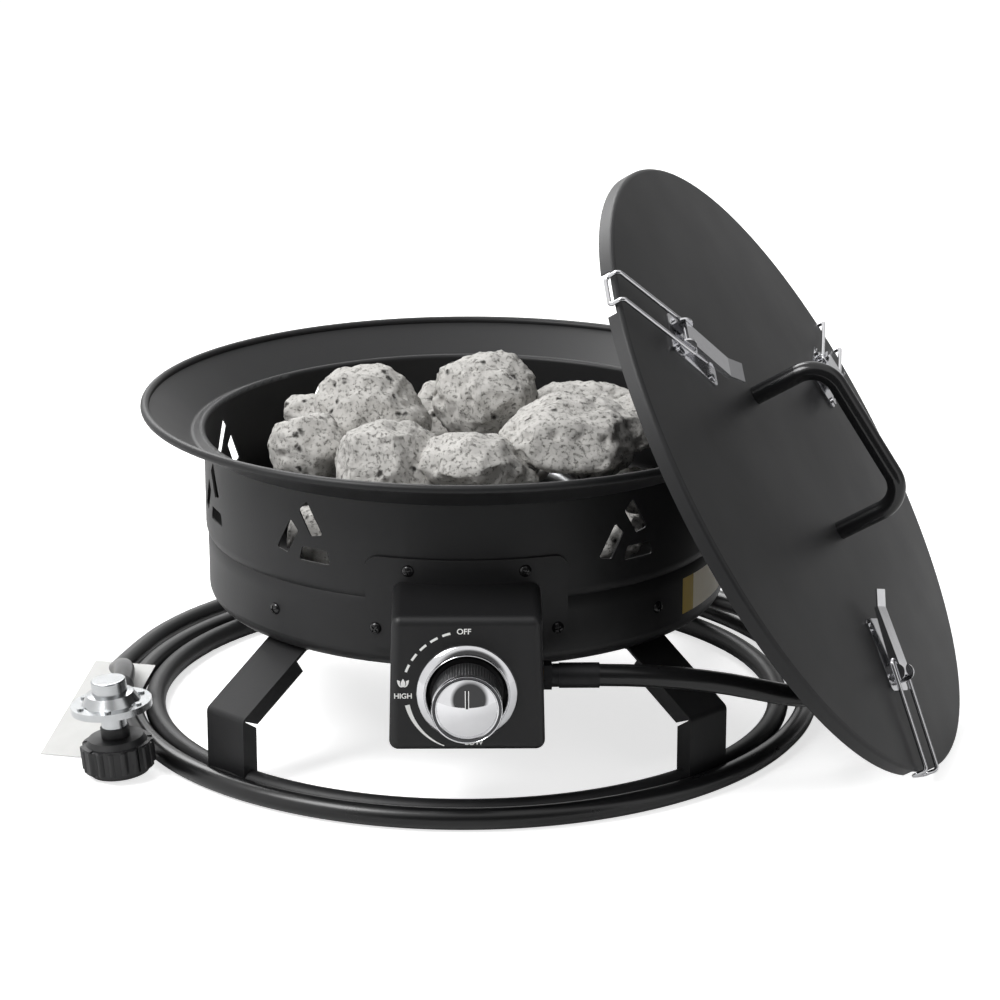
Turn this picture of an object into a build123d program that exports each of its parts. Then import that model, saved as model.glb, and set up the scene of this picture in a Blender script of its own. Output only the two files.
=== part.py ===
from build123d import *
import os
from math import asin, atan2, cos, degrees, hypot, pi, radians, sin, sqrt, tan

os.makedirs("parts", exist_ok=True)

# Portable propane fire pit with its lid leaning on the rim.
# Origin on the bowl's axis at floor level, +Z up, control box towards -Y, lid towards +X. Sizes in mm.

# Fits and common sizes
SHEET = 1.2
JOINT = 0.05
SLIP = 0.3
FIT = 0.05
OVERRUN = 30.0
SCREW_RADIUS = 2.0
SCREW_HEAD_RADIUS = 4.4
SCREW_HEAD = 2.4
SCREW_DOME = 1.0
SCREW_REACH = 9.0

# Fire bowl, turned from sheet: floor, wall, ridge, valley, flare and rolled lip
RIM_RADIUS = 241.3
RIM_HEIGHT = 244.0
LIP_RADIUS = 3.2
WALL_RADIUS = 195.0
BOWL_BOTTOM = 139.0
BOWL_ROUND = 12.0
RIDGE_HEIGHT = 224.5
RIDGE_ROUND = 2.5
VALLEY_REACH = 9.0
VALLEY_HEIGHT = 219.0
VALLEY_ROUND = 4.0

# Vents: three blade slots round a centre, at every place but the front
VENT_COUNT = 10
VENT_HEIGHT = 181.5
BLADE_COUNT = 3
BLADE_WIDTH = 10.0
BLADE_INNER = 20.6
BLADE_OUTER = 27.0
BLADE_DROP = 6.5
BLADE_SHIFT = 9.0
BLADE_CORNER = 1.6

# Base pan under the bowl
PAN_RADIUS = 193.4
PAN_BOTTOM = 94.0
PAN_TOP = 138.5
PAN_ROUND = 11.0
PAN_LIP_ROUND = 4.0
PAN_LIP_RADIUS = 187.5
PAN_HOLE_RADIUS = 8.0
PAN_HOLE_CIRCLE = 110.0
PAN_HOLE_COUNT = 8
PAN_SCREW_HEIGHT = 122.0

# Straps that carry the bowl on the pan's wall
STRAP_WIDTH = 22.0
STRAP_SHEET = 1.5
STRAP_BOTTOM = 112.0
STRAP_BEND = 129.0
STRAP_SEAT_OUT = 178.0
STRAP_SEAT_IN = 160.0
STRAP_ROUND = 3.0

# Base ring and legs
CORNER_ANGLES = (45, 135, 225, 315)
RING_RADIUS = 237.0
RING_TUBE = 7.8
RING_FLAT = 0.4
LEG_RADIUS = 243.5
LEG_WIDTH = 39.0
LEG_SHEET = 2.0
LEG_FLANGE = 11.5
LEG_BEND_HEIGHT = 54.0
LEG_TOP_RADIUS = 182.0
LEG_TAB_RADIUS = 148.0
LEG_NOTCH = 1.5
LEG_BEND_ROUND = 4.0
BOLT_CIRCLE = 163.0
BOLT_RADIUS = 3.0
BOLT_HEAD_RADIUS = 5.8
BOLT_HEAD = 4.0

# Control box pressed in one piece with its plate
BOX_FACE = 250.0
BOX_BACK = 185.0
BOX_BOTTOM = 56.0
BOX_TOP = 153.0
BOX_SLOPE = 0.106
BOX_HALF_TOP = 51.5
BOX_HALF_BOTTOM = 54.0
BOX_ROUND = 6.5
BOX_SHEET = 1.5
PLATE_HALF = 71.0
PLATE_BOTTOM = 110.0
PLATE_TOP = 177.0
PLATE_CORNER = 9.0
PLATE_UPPER_SCREW = (41.0, 168.0)
PLATE_LOWER_SCREW = (64.0, 124.0)

# Knob, bezel and valve on one axis
KNOB_HEIGHT = 99.0
BEZEL_RADIUS = 35.0
BEZEL_HOLE = 25.6
BEZEL_DEPTH = 5.0
BEZEL_CROWN = 1.6
KNOB_RADIUS = 23.4
KNOB_STOP = 0.5
KNOB_TRAVEL = 4.0
KNOB_LENGTH = 26.0
KNOB_WALL = 2.2
KNOB_FRONT = 4.0
HUB_RADIUS = 6.5
HUB_SETBACK = 4.0
CAP_RADIUS = 24.3
CAP_DEPTH = 3.6
CAP_RIM = 2.6
CAP_RECESS = 0.8
CAP_GROOVE = 0.7
STEM_RADIUS = 3.0
STEM_LENGTH = 46.0
STEM_BACK = 24.0
SPRING_RADIUS = 5.2
SPRING_WIRE = 1.2
VALVE_HALF = 15.0
VALVE_BOTTOM = 86.0
VALVE_TOP = 128.0
VALVE_DEPTH = 36.0
PLUG_RADIUS = 5.5
PLUG_FRONT = 5.0
PLUG_LENGTH = 26.0
VALVE_SCREW_SPREAD = 11.5
VALVE_SCREW_RADIUS = 1.5
VALVE_SCREW_HEAD = 2.6
VALVE_SCREW_LENGTH = 8.0
FACE_HOLE_RADIUS = 7.0

# Jet, mixer tube and burner
JET_HEIGHT = 118.0
JET_RADIUS = 4.5
JET_LENGTH = 9.0
MIXER_RADIUS = 8.0
MIXER_BORE = 6.8
MIXER_GAP = 1.0
MIXER_BEND = 20.0
BURNER_RADIUS = 85.0
BURNER_TUBE = 7.0
BAR_TUBE = 6.0
BURNER_HEIGHT = 162.0
PORT_RADIUS = 1.2
HUB_TUBE = 10.5
STAND_WIDTH = 14.0
STAND_SHEET = 1.5
STAND_ANGLES = (45, 135, 225, 315)
STAND_FOOT = 16.0

# Gas hose and its fittings
HOSE_RADIUS = 7.8
HOSE_BORE = 4.8
INLET_BACK = 222.0
INLET_HEIGHT = 101.5
INLET_PIPE_RADIUS = 6.0
COLLAR_RADIUS = 10.2
COLLAR_LENGTH = 6.0
FERRULE_RADIUS = 8.9
FERRULE_LENGTH = 33.0
FERRULE_NECK = 0.7
FERRULE_STEP = 5.0
PASS_GAP = 2.4
HOSE_LEAD = 61.0
HOSE_SWING = (250.0, -183.0, 66.0)
HOSE_DROP_ANGLES = (72, 107, 142, 177)
HOSE_DROP_HEIGHTS = (46.0, 36.0, 24.0)
HOSE_DROP_HALF = 17.5
COIL_OUT_ANGLE = 45
COIL_IN_ANGLE = 135
COIL_END_ANGLE = 255
COIL_GROWTH = 23.0
COIL_EASE = 15.0
HOSE_LIFT = 65.0
HOSE_RISE_SETBACK = 53.0
BEND_SHARE = 0.45

# Regulator with its hand nut, leaning on the floor
REG_PLACE = (-250.3, -147.4)
REG_LEAN = 5.5
NUT_RADIUS = 25.5
NUT_CORE = 22.0
NUT_HEIGHT = 27.0
NUT_CHAMFER = 4.0
NUT_RIBS = 6
NUT_RIB_WIDTH = 11.0
NUT_BORE = 16.7
NUT_BORE_DEPTH = 19.0
NUT_NECK = 8.0
COLLAR_BLACK_RADIUS = 10.4
COLLAR_BLACK_TOP = 34.5
NIPPLE_RADIUS = 7.0
NIPPLE_HEAD_RADIUS = 12.0
NIPPLE_HEAD = 4.0
NECK_RADIUS = 9.2
CASE_LOW = 43.0
FLANGE_LOW = 48.5
FLANGE_SPLIT = 51.0
FLANGE_TOP = 53.5
FLANGE_RADIUS = 29.3
CASE_SHOULDER = 17.0
CASE_TOP = 61.0
BONNET_RADIUS = 12.7
BONNET_TOP = 70.5
BONNET_ROUND = 1.2
OUTLET_HEIGHT = 41.5
OUTLET_RADIUS = 6.2
OUTLET_LENGTH = 31.0
CASE_SCREW_CIRCLE = 24.0
CASE_SCREW_RADIUS = 1.4
CASE_SCREW_HEAD_RADIUS = 2.4
CASE_SCREW_HEAD = 1.4
CASE_SCREW_COUNT = 6

# Paper tag that leans on the hose
TAG_SHEET = 0.5
TAG_WIDTH = 48.0
TAG_LENGTH = 125.0
TAG_TURN = -14.0
TAG_RISE = 14.0
TAG_CORNER = (-313.0, -108.0)

# Lid, leaning against the rim and standing on the floor
LID_RADIUS = 240.6
LID_SHEET = 1.0
LID_SKIRT = 11.0
LID_CROWN = 9.0
LID_FLAT = 40.0
LID_ROUND = 3.0
LID_TILT = 58.91
LID_FACING = -16.4
LID_SLIDE = -8.7
LATCH_ANGLES = (129.5, 9.5, 249.5)
NOTCH_WIDTH = 39.0
NOTCH_TOP = 1.0
NOTCH_DEPTH = 6.0

# Carrying handle on the lid
HANDLE_TUBE = 6.75
HANDLE_LENGTH = 119.0
HANDLE_HEIGHT = 56.0
HANDLE_ROUND = 21.0
HANDLE_PLACE = (-20.0, 2.0)
HANDLE_TURN = 98.0
HANDLE_BOLT = 3.0
HANDLE_BOLT_DEPTH = 14.0
HANDLE_BOLT_HEAD_RADIUS = 6.0
HANDLE_BOLT_HEAD = 3.0

# Draw latches
LATCH_RADIUS = 160.0
BASE_INNER = -33.0
BASE_OUTER = 22.0
BASE_WIDTH = 35.0
BASE_SHEET = 1.5
BASE_CORNER = 4.0
EAR_RADIUS = 6.2
EAR_SHEET = 1.5
PIVOT_OUT = 10.0
PIVOT_HEIGHT = 6.5
PIVOT_PIN = 1.8
LEVER_HALF = 8.7
LEVER_SHEET = 1.2
LEVER_TOP = 10.0
LEVER_SIDE = 6.0
LEVER_OUTER = 13.0
LEVER_INNER = -51.0
LEVER_TAB = 12.0
LEVER_TAB_LIFT = 4.0
BAIL_WIRE = 1.5
BAIL_OUT = 1.0
BAIL_HALF = 12.6
BAIL_END_HEIGHT = 2.6
BAIL_HOOK = 11.0
BAIL_ROUND = 3.2
RIVET_RADIUS = 3.2
RIVET_HEAD = 1.5
RIVET_SHANK = 1.5
RIVET_OUT = 13.0
RIVET_IN = -26.0
RIVET_SIDE = 14.0

# Lava rocks: places, half sizes and turn, as shares of the wall's radius
ROCK_BUMP_SHARE = 0.16
LOWER_ROCK_SHARES = (
    (0.72, 0.00, 0.180, 0.160, 0.120),
    (0.51, 0.51, 0.175, 0.155, 0.118),
    (0.00, 0.72, 0.185, 0.155, 0.120),
    (-0.51, 0.51, 0.175, 0.165, 0.118),
    (-0.70, 0.04, 0.170, 0.160, 0.115),
    (-0.49, -0.50, 0.180, 0.155, 0.118),
    (0.00, -0.70, 0.175, 0.155, 0.118),
    (0.50, -0.50, 0.180, 0.160, 0.118),
    (0.06, 0.20, 0.150, 0.130, 0.150),
    (0.20, 0.02, 0.110, 0.110, 0.065),
    (-0.14, -0.04, 0.130, 0.120, 0.085),
)
UPPER_ROCK_SHARES = (
    (-0.60, -0.08, 0.115, 0.115, 0.140),
    (-0.36, 0.13, 0.215, 0.180, 0.265),
    (-0.30, -0.34, 0.240, 0.170, 0.195),
    (0.05, -0.36, 0.220, 0.165, 0.125),
    (0.43, -0.18, 0.265, 0.190, 0.150),
    (-0.58, 0.40, 0.150, 0.140, 0.135),
    (-0.05, 0.52, 0.170, 0.150, 0.205),
    (0.07, 0.21, 0.215, 0.190, 0.165),
    (0.50, 0.38, 0.215, 0.170, 0.185),
    (0.68, 0.12, 0.145, 0.160, 0.110),
)

# Sizes that follow from those above
KNOB_GAP = KNOB_TRAVEL + KNOB_STOP
BOX_PLATE_RADIUS = WALL_RADIUS + SLIP
PLATE_OUTER = BOX_PLATE_RADIUS + BOX_SHEET
BOWL_FLOOR = BOWL_BOTTOM + SHEET
PAN_FLOOR = PAN_BOTTOM + SHEET
RING_HEIGHT = RING_TUBE - RING_FLAT
COIL_RADIUS = RING_RADIUS + RING_TUBE + HOSE_RADIUS + PASS_GAP
BOX_INSIDE = BOX_FACE - BOX_SHEET
CROWN_SWEEP = ((LID_RADIUS - LID_FLAT) ** 2 + LID_CROWN ** 2) / (2 * LID_CROWN)
KNOB = Plane(origin=(0, -BOX_FACE, KNOB_HEIGHT), x_dir=(1, 0, 0), z_dir=(0, -1, 0))


def around(angle, radius, height):
    """Place at an angle round the axis, counted from the front towards the right."""
    return Vector(radius * sin(radians(angle)), -radius * cos(radians(angle)), height)


def heading(angle):
    """Level direction of travel round the axis at an angle."""
    return Vector(cos(radians(angle)), sin(radians(angle)), 0)


def wall_plane(angle, radius, height):
    """Plane facing outwards at a place round the axis, with y up."""
    return Plane(origin=around(angle, radius, height), x_dir=heading(angle), z_dir=around(angle, 1, 0))


def section_plane(angle):
    """Upright plane through the axis, with x outwards and y up."""
    return Plane(origin=(0, 0, 0), x_dir=around(angle, 1, 0), z_dir=-heading(angle))


def axial(plane):
    """Plane that holds another plane's normal, with x outwards and y along the normal."""
    return Plane(origin=plane.origin, x_dir=plane.x_dir, z_dir=-plane.y_dir)


def axis_of(plane):
    """Axis along a plane's normal."""
    return Axis(plane.origin, plane.z_dir)


def moved(plane, x, y, z):
    """The same plane with its origin moved by lengths of its own directions."""
    place = plane.origin + plane.x_dir * x + plane.y_dir * y + plane.z_dir * z
    return Plane(origin=place, x_dir=plane.x_dir, z_dir=plane.z_dir)


def bend_radii(points):
    """Bend radius at each inner point of a run of straight lines, printed as it goes."""
    radii = []
    for before, here, after in zip(points, points[1:], points[2:]):
        first = Vector(here) - Vector(before)
        second = Vector(after) - Vector(here)
        half = radians(first.get_angle(second)) / 2
        radii.append(BEND_SHARE * min(first.length, second.length) / tan(half))
    print("bend radii", [round(radius, 1) for radius in radii])
    return radii


def screw_solid(plane, reach):
    """Pan-head screw with its head on a plane and its shank going in."""
    with BuildPart() as screw:
        with BuildSketch(plane):
            Circle(SCREW_HEAD_RADIUS)
        extrude(amount=SCREW_HEAD)
        fillet(screw.faces().sort_by(axis_of(plane))[-1].edges(), radius=SCREW_DOME)
        with BuildSketch(plane):
            Circle(SCREW_RADIUS)
        extrude(amount=-reach)
    return screw.part


# Fire bowl
floor_line = BOWL_BOTTOM + SHEET / 2
wall_line = WALL_RADIUS - SHEET / 2
blade_points = (
    (BLADE_SHIFT - BLADE_INNER / 2, -BLADE_DROP),
    (BLADE_SHIFT + BLADE_INNER / 2, -BLADE_DROP),
    (BLADE_SHIFT + BLADE_OUTER / 2, -BLADE_DROP - BLADE_WIDTH),
    (BLADE_SHIFT - BLADE_OUTER / 2, -BLADE_DROP - BLADE_WIDTH),
)
vent_planes = [wall_plane(360 * n / VENT_COUNT, WALL_RADIUS, VENT_HEIGHT) for n in range(1, VENT_COUNT)]
strap_screw_planes = [wall_plane(angle, PAN_RADIUS + JOINT, PAN_SCREW_HEIGHT) for angle in CORNER_ANGLES]
upper_angle = degrees(asin(PLATE_UPPER_SCREW[0] / PLATE_OUTER))
lower_angle = degrees(asin(PLATE_LOWER_SCREW[0] / PLATE_OUTER))
upper_screw_planes = [wall_plane(s * upper_angle, PLATE_OUTER + JOINT, PLATE_UPPER_SCREW[1]) for s in (-1, 1)]
lower_screw_planes = [wall_plane(s * lower_angle, PLATE_OUTER + JOINT, PLATE_LOWER_SCREW[1]) for s in (-1, 1)]
with BuildPart() as fire_bowl:
    with BuildSketch(Plane.XZ):
        with BuildLine():
            FilletPolyline(
                (HUB_TUBE + SLIP, floor_line),
                (wall_line, floor_line),
                (wall_line, RIDGE_HEIGHT),
                (WALL_RADIUS + VALLEY_REACH, VALLEY_HEIGHT),
                (RIM_RADIUS - LIP_RADIUS, RIM_HEIGHT - LIP_RADIUS),
                radius=(BOWL_ROUND - SHEET / 2, RIDGE_ROUND, VALLEY_ROUND),
            )
        trace(line_width=SHEET)
        with Locations((RIM_RADIUS - LIP_RADIUS, RIM_HEIGHT - LIP_RADIUS)):
            Circle(LIP_RADIUS)
    revolve(axis=Axis.Z)
    with BuildSketch(*vent_planes):
        with PolarLocations(0, BLADE_COUNT):
            blades = Polygon(*blade_points, align=None)
        fillet(blades.vertices(), radius=BLADE_CORNER)
    extrude(amount=OVERRUN / 2, both=True, mode=Mode.SUBTRACT)
    with BuildSketch(*upper_screw_planes):
        Circle(SCREW_RADIUS + FIT)
    extrude(amount=-OVERRUN / 2, mode=Mode.SUBTRACT)
fire_bowl.part.label = "fire_bowl"
export_step(fire_bowl.part, "parts/fire_bowl.step")

# Base pan
pan_line = PAN_BOTTOM + SHEET / 2
pan_wall_line = PAN_RADIUS - SHEET / 2
bolt_places = [around(angle, BOLT_CIRCLE, PAN_BOTTOM) for angle in CORNER_ANGLES]
with BuildPart() as base_pan:
    with BuildSketch(Plane.XZ):
        with BuildLine():
            FilletPolyline(
                (0, pan_line),
                (pan_wall_line, pan_line),
                (pan_wall_line, PAN_TOP - SHEET / 2),
                (PAN_LIP_RADIUS, PAN_TOP - SHEET / 2),
                radius=(PAN_ROUND - SHEET / 2, PAN_LIP_ROUND - SHEET / 2),
            )
        trace(line_width=SHEET)
    revolve(axis=Axis.Z)
    with BuildSketch(Plane.XY.offset(PAN_BOTTOM)):
        with PolarLocations(PAN_HOLE_CIRCLE, PAN_HOLE_COUNT):
            Circle(PAN_HOLE_RADIUS)
        with Locations(*bolt_places):
            Circle(BOLT_RADIUS + FIT)
    extrude(amount=OVERRUN / 2, both=True, mode=Mode.SUBTRACT)
    with BuildSketch(*strap_screw_planes, *lower_screw_planes):
        Circle(SCREW_RADIUS + FIT)
    extrude(amount=-OVERRUN / 2, mode=Mode.SUBTRACT)
    with BuildSketch(wall_plane(0, PAN_RADIUS, JET_HEIGHT)):
        Circle(MIXER_RADIUS + SLIP)
    extrude(amount=OVERRUN / 2, both=True, mode=Mode.SUBTRACT)
base_pan.part.label = "base_pan"
export_step(base_pan.part, "parts/base_pan.step")

# Straps between the pan's wall and the bowl's floor
strap_out = sqrt((PAN_RADIUS - SHEET) ** 2 - (STRAP_WIDTH / 2) ** 2) - JOINT - STRAP_SHEET / 2
strap_top = BOWL_BOTTOM - STRAP_SHEET / 2
with BuildPart() as bowl_straps:
    with BuildSketch(*[section_plane(angle) for angle in CORNER_ANGLES]):
        with BuildLine():
            FilletPolyline(
                (strap_out, STRAP_BOTTOM),
                (strap_out, STRAP_BEND),
                (STRAP_SEAT_OUT, strap_top),
                (STRAP_SEAT_IN, strap_top),
                radius=STRAP_ROUND,
            )
        trace(line_width=STRAP_SHEET)
    extrude(amount=STRAP_WIDTH / 2, both=True)
    with BuildSketch(*strap_screw_planes):
        Circle(SCREW_RADIUS + FIT)
    extrude(amount=-OVERRUN / 2, mode=Mode.SUBTRACT)
bowl_straps.part.label = "bowl_straps"
export_step(bowl_straps.part, "parts/bowl_straps.step")

# Screws in the pan's wall, one to each strap
strap_screws = [screw_solid(plane, SCREW_REACH) for plane in strap_screw_planes]
with BuildPart() as pan_screws:
    add(strap_screws)
pan_screws.part.label = "pan_screws"
export_step(pan_screws.part, "parts/pan_screws.step")

# Base ring, with a narrow flat where it stands
with BuildPart() as base_ring:
    with Locations((0, 0, RING_HEIGHT)):
        Torus(RING_RADIUS, RING_TUBE)
    split(bisect_by=Plane.XY, keep=Keep.TOP)
base_ring.part.label = "base_ring"
export_step(base_ring.part, "parts/base_ring.step")

# Legs: folded channels that stand on the ring and bolt under the pan
leg_line = LEG_RADIUS - LEG_SHEET / 2
tab_line = PAN_BOTTOM - LEG_SHEET / 2
leg_slope = atan2(tab_line - LEG_BEND_HEIGHT, leg_line - LEG_TOP_RADIUS)
leg_along = (-cos(leg_slope), sin(leg_slope))
leg_inward = (-sin(leg_slope), -cos(leg_slope))
fold_drop = LEG_FLANGE * cos(leg_slope) / (1 + sin(leg_slope))
fold = (leg_line - LEG_FLANGE, LEG_BEND_HEIGHT - fold_drop)
slope_length = hypot(leg_line - LEG_TOP_RADIUS, tab_line - LEG_BEND_HEIGHT) - LEG_FLANGE
slope_end = (leg_line + leg_along[0] * slope_length, LEG_BEND_HEIGHT + leg_along[1] * slope_length)
slope_inner = (slope_end[0] + leg_inward[0] * LEG_FLANGE, slope_end[1] + leg_inward[1] * LEG_FLANGE)
upright_flange = (
    (leg_line, RING_HEIGHT),
    (leg_line, LEG_BEND_HEIGHT),
    (fold[0], fold[1] - LEG_NOTCH),
    (fold[0], RING_HEIGHT),
)
slope_flange = (
    (leg_line, LEG_BEND_HEIGHT),
    slope_end,
    slope_inner,
    (fold[0] + leg_along[0] * LEG_NOTCH, fold[1] + leg_along[1] * LEG_NOTCH),
)


def leg_solid(angle):
    """One leg at an angle round the axis."""
    section = section_plane(angle)
    with BuildPart() as leg:
        with BuildSketch(section):
            with BuildLine():
                FilletPolyline(
                    (leg_line, RING_HEIGHT),
                    (leg_line, LEG_BEND_HEIGHT),
                    (LEG_TOP_RADIUS, tab_line),
                    (LEG_TAB_RADIUS, tab_line),
                    radius=LEG_BEND_ROUND,
                )
            trace(line_width=LEG_SHEET)
        extrude(amount=LEG_WIDTH / 2, both=True)
        for side in (-1, 1):
            with BuildSketch(section.offset(side * (LEG_WIDTH - LEG_SHEET) / 2)):
                Polygon(*upright_flange, align=None)
                Polygon(*slope_flange, align=None)
            extrude(amount=LEG_SHEET / 2, both=True)
        with Locations((0, 0, RING_HEIGHT)):
            Torus(RING_RADIUS, RING_TUBE + JOINT, mode=Mode.SUBTRACT)
        with BuildSketch(Plane.XY.offset(PAN_BOTTOM)):
            with Locations(around(angle, BOLT_CIRCLE, 0)):
                Circle(BOLT_RADIUS + FIT)
        extrude(amount=OVERRUN / 2, both=True, mode=Mode.SUBTRACT)
    return leg.part


for corner, angle in zip(("front_right", "back_right", "back_left", "front_left"), CORNER_ANGLES):
    leg_shape = leg_solid(angle)
    with BuildPart() as one_leg:
        add(leg_shape)
    one_leg.part.label = "leg_" + corner
    export_step(one_leg.part, "parts/leg_" + corner + ".step")

# Bolts that hold the legs under the pan, with their nuts inside it
with BuildPart() as leg_bolts:
    with BuildSketch(Plane.XY.offset(PAN_BOTTOM - LEG_SHEET)):
        with Locations(*bolt_places):
            RegularPolygon(BOLT_HEAD_RADIUS, 6)
    extrude(amount=-BOLT_HEAD)
    with BuildSketch(Plane.XY.offset(PAN_BOTTOM - LEG_SHEET)):
        with Locations(*bolt_places):
            Circle(BOLT_RADIUS)
    extrude(amount=LEG_SHEET + SHEET + 2 * BOLT_HEAD)
    with BuildSketch(Plane.XY.offset(PAN_FLOOR)):
        with Locations(*bolt_places):
            RegularPolygon(BOLT_HEAD_RADIUS, 6)
    extrude(amount=BOLT_HEAD)
leg_bolts.part.label = "leg_bolts"
export_step(leg_bolts.part, "parts/leg_bolts.step")


def box_block(inset):
    """Solid outline of the control box, drawn in by an inset on every side but the back."""
    face = BOX_FACE - inset
    top = BOX_TOP - inset
    bottom = BOX_BOTTOM + inset
    back_top = top + (face - BOX_BACK) * BOX_SLOPE
    lean = (BOX_HALF_BOTTOM - BOX_HALF_TOP) / (BOX_TOP - BOX_BOTTOM)
    half_top = BOX_HALF_BOTTOM - inset - lean * (back_top - BOX_BOTTOM)
    half_bottom = BOX_HALF_BOTTOM - inset - lean * inset
    with BuildPart() as block:
        with BuildSketch(Plane.YZ):
            Polygon((-face, bottom), (-face, top), (-BOX_BACK, back_top), (-BOX_BACK, bottom), align=None)
        extrude(amount=BOX_HALF_BOTTOM, both=True)
        with BuildSketch(Plane.XZ):
            Polygon(
                (-half_bottom, bottom),
                (half_bottom, bottom),
                (half_top, back_top),
                (-half_top, back_top),
                align=None,
            )
        extrude(amount=BOX_FACE + OVERRUN, mode=Mode.INTERSECT)
        front_edges = [edge for edge in block.edges() if edge.center().Y < -BOX_BACK - inset - SHEET]
        fillet(front_edges, radius=BOX_ROUND - inset)
    return block.part


# Control box: a drawn box with a plate that follows the bowl's wall
box_outside = box_block(0)
box_hollow = box_block(BOX_SHEET)
box_slant = (BOX_HALF_BOTTOM - BOX_HALF_TOP) / (BOX_TOP - BOX_BOTTOM)
side_half = BOX_HALF_BOTTOM - box_slant * (INLET_HEIGHT - BOX_BOTTOM)
with BuildPart() as plate_shape:
    with BuildSketch(Plane.XZ):
        with Locations((0, (PLATE_BOTTOM + PLATE_TOP) / 2)):
            RectangleRounded(2 * PLATE_HALF, PLATE_TOP - PLATE_BOTTOM, PLATE_CORNER)
    extrude(amount=BOX_FACE)
    with BuildSketch(Plane.XY):
        Circle(PLATE_OUTER)
    extrude(amount=RIM_HEIGHT, mode=Mode.INTERSECT)
with BuildPart() as control_box:
    add(plate_shape.part)
    add(box_outside)
    add(box_hollow, mode=Mode.SUBTRACT)
    with BuildSketch(Plane.XY):
        Circle(BOX_PLATE_RADIUS)
    extrude(amount=RIM_HEIGHT, mode=Mode.SUBTRACT)
    with BuildSketch(*upper_screw_planes, *lower_screw_planes):
        Circle(SCREW_RADIUS + FIT)
    extrude(amount=OVERRUN / 2, both=True, mode=Mode.SUBTRACT)
    with BuildSketch(KNOB):
        Circle(FACE_HOLE_RADIUS)
        with Locations((-VALVE_SCREW_SPREAD, 0), (VALVE_SCREW_SPREAD, 0)):
            Circle(VALVE_SCREW_RADIUS + FIT)
    extrude(amount=-OVERRUN / 2, mode=Mode.SUBTRACT)
    with BuildSketch(Plane.YZ.offset(side_half)):
        with Locations((-INLET_BACK, INLET_HEIGHT)):
            Circle(INLET_PIPE_RADIUS + SLIP)
    extrude(amount=OVERRUN / 2, both=True, mode=Mode.SUBTRACT)
control_box.part.label = "control_box"
export_step(control_box.part, "parts/control_box.step")

# Screws that hold the box's plate
plate_screws = [screw_solid(plane, SCREW_REACH) for plane in upper_screw_planes + lower_screw_planes]
with BuildPart() as box_screws:
    add(plate_screws)
box_screws.part.label = "box_screws"
export_step(box_screws.part, "parts/box_screws.step")

# Bezel: a domed ring on the face
with BuildPart() as bezel:
    with BuildSketch(axial(KNOB)):
        with BuildLine():
            Polyline(
                (BEZEL_RADIUS, BEZEL_CROWN),
                (BEZEL_RADIUS, 0),
                (BEZEL_HOLE, 0),
                (BEZEL_HOLE, BEZEL_CROWN),
            )
            ThreePointArc(
                (BEZEL_HOLE, BEZEL_CROWN),
                ((BEZEL_HOLE + BEZEL_RADIUS) / 2, BEZEL_DEPTH),
                (BEZEL_RADIUS, BEZEL_CROWN),
            )
        make_face()
    revolve(axis=axis_of(KNOB))
bezel.part.label = "bezel"
export_step(bezel.part, "parts/bezel.step")

# Knob: a cup with a hub
knob_back = moved(KNOB, 0, 0, KNOB_GAP)
knob_top = moved(KNOB, 0, 0, KNOB_GAP + KNOB_LENGTH)
with BuildPart() as knob:
    with BuildSketch(knob_back):
        Circle(KNOB_RADIUS)
    extrude(amount=KNOB_LENGTH)
    with BuildSketch(knob_back):
        Circle(KNOB_RADIUS - KNOB_WALL)
        Circle(HUB_RADIUS, mode=Mode.SUBTRACT)
    extrude(amount=KNOB_LENGTH - KNOB_FRONT, mode=Mode.SUBTRACT)
    with BuildSketch(knob_back):
        Circle(HUB_RADIUS)
    extrude(amount=HUB_SETBACK, mode=Mode.SUBTRACT)
    with BuildSketch(knob_back):
        Circle(STEM_RADIUS + FIT)
    extrude(amount=KNOB_LENGTH - KNOB_FRONT, mode=Mode.SUBTRACT)
knob.part.label = "knob"
export_step(knob.part, "parts/knob.step")

# Bright cap with a double rim
with BuildPart() as knob_cap:
    with BuildSketch(axial(knob_top)):
        Polygon(
            (0, 0),
            (CAP_RADIUS, 0),
            (CAP_RADIUS, CAP_DEPTH - CAP_GROOVE),
            (CAP_RADIUS - CAP_GROOVE, CAP_DEPTH),
            (CAP_RADIUS - CAP_RIM, CAP_DEPTH),
            (CAP_RADIUS - CAP_RIM - CAP_RECESS, CAP_DEPTH - CAP_RECESS),
            (0, CAP_DEPTH - CAP_RECESS),
            align=None,
        )
    revolve(axis=axis_of(knob_top))
    with BuildSketch(axial(knob_top)):
        with Locations((CAP_RADIUS, CAP_DEPTH / 3)):
            Rectangle(2 * CAP_GROOVE, CAP_GROOVE)
    revolve(axis=axis_of(knob_top), mode=Mode.SUBTRACT)
knob_cap.part.label = "knob_cap"
export_step(knob_cap.part, "parts/knob_cap.step")

# Valve stem that slides in the plug
stem_back = moved(KNOB, 0, 0, -STEM_BACK)
with BuildPart() as valve_stem:
    with BuildSketch(stem_back):
        Circle(STEM_RADIUS)
    extrude(amount=STEM_LENGTH)
valve_stem.part.label = "valve_stem"
export_step(valve_stem.part, "parts/valve_stem.step")

# Return spring between the valve and the knob's hub, as a plain sleeve
valve_front = moved(KNOB, 0, 0, -BOX_SHEET)
with BuildPart() as return_spring:
    with BuildSketch(valve_front):
        Circle(SPRING_RADIUS)
        Circle(SPRING_RADIUS - SPRING_WIRE, mode=Mode.SUBTRACT)
    extrude(amount=BOX_SHEET + KNOB_GAP + HUB_SETBACK)
return_spring.part.label = "return_spring"
export_step(return_spring.part, "parts/return_spring.step")

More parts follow.
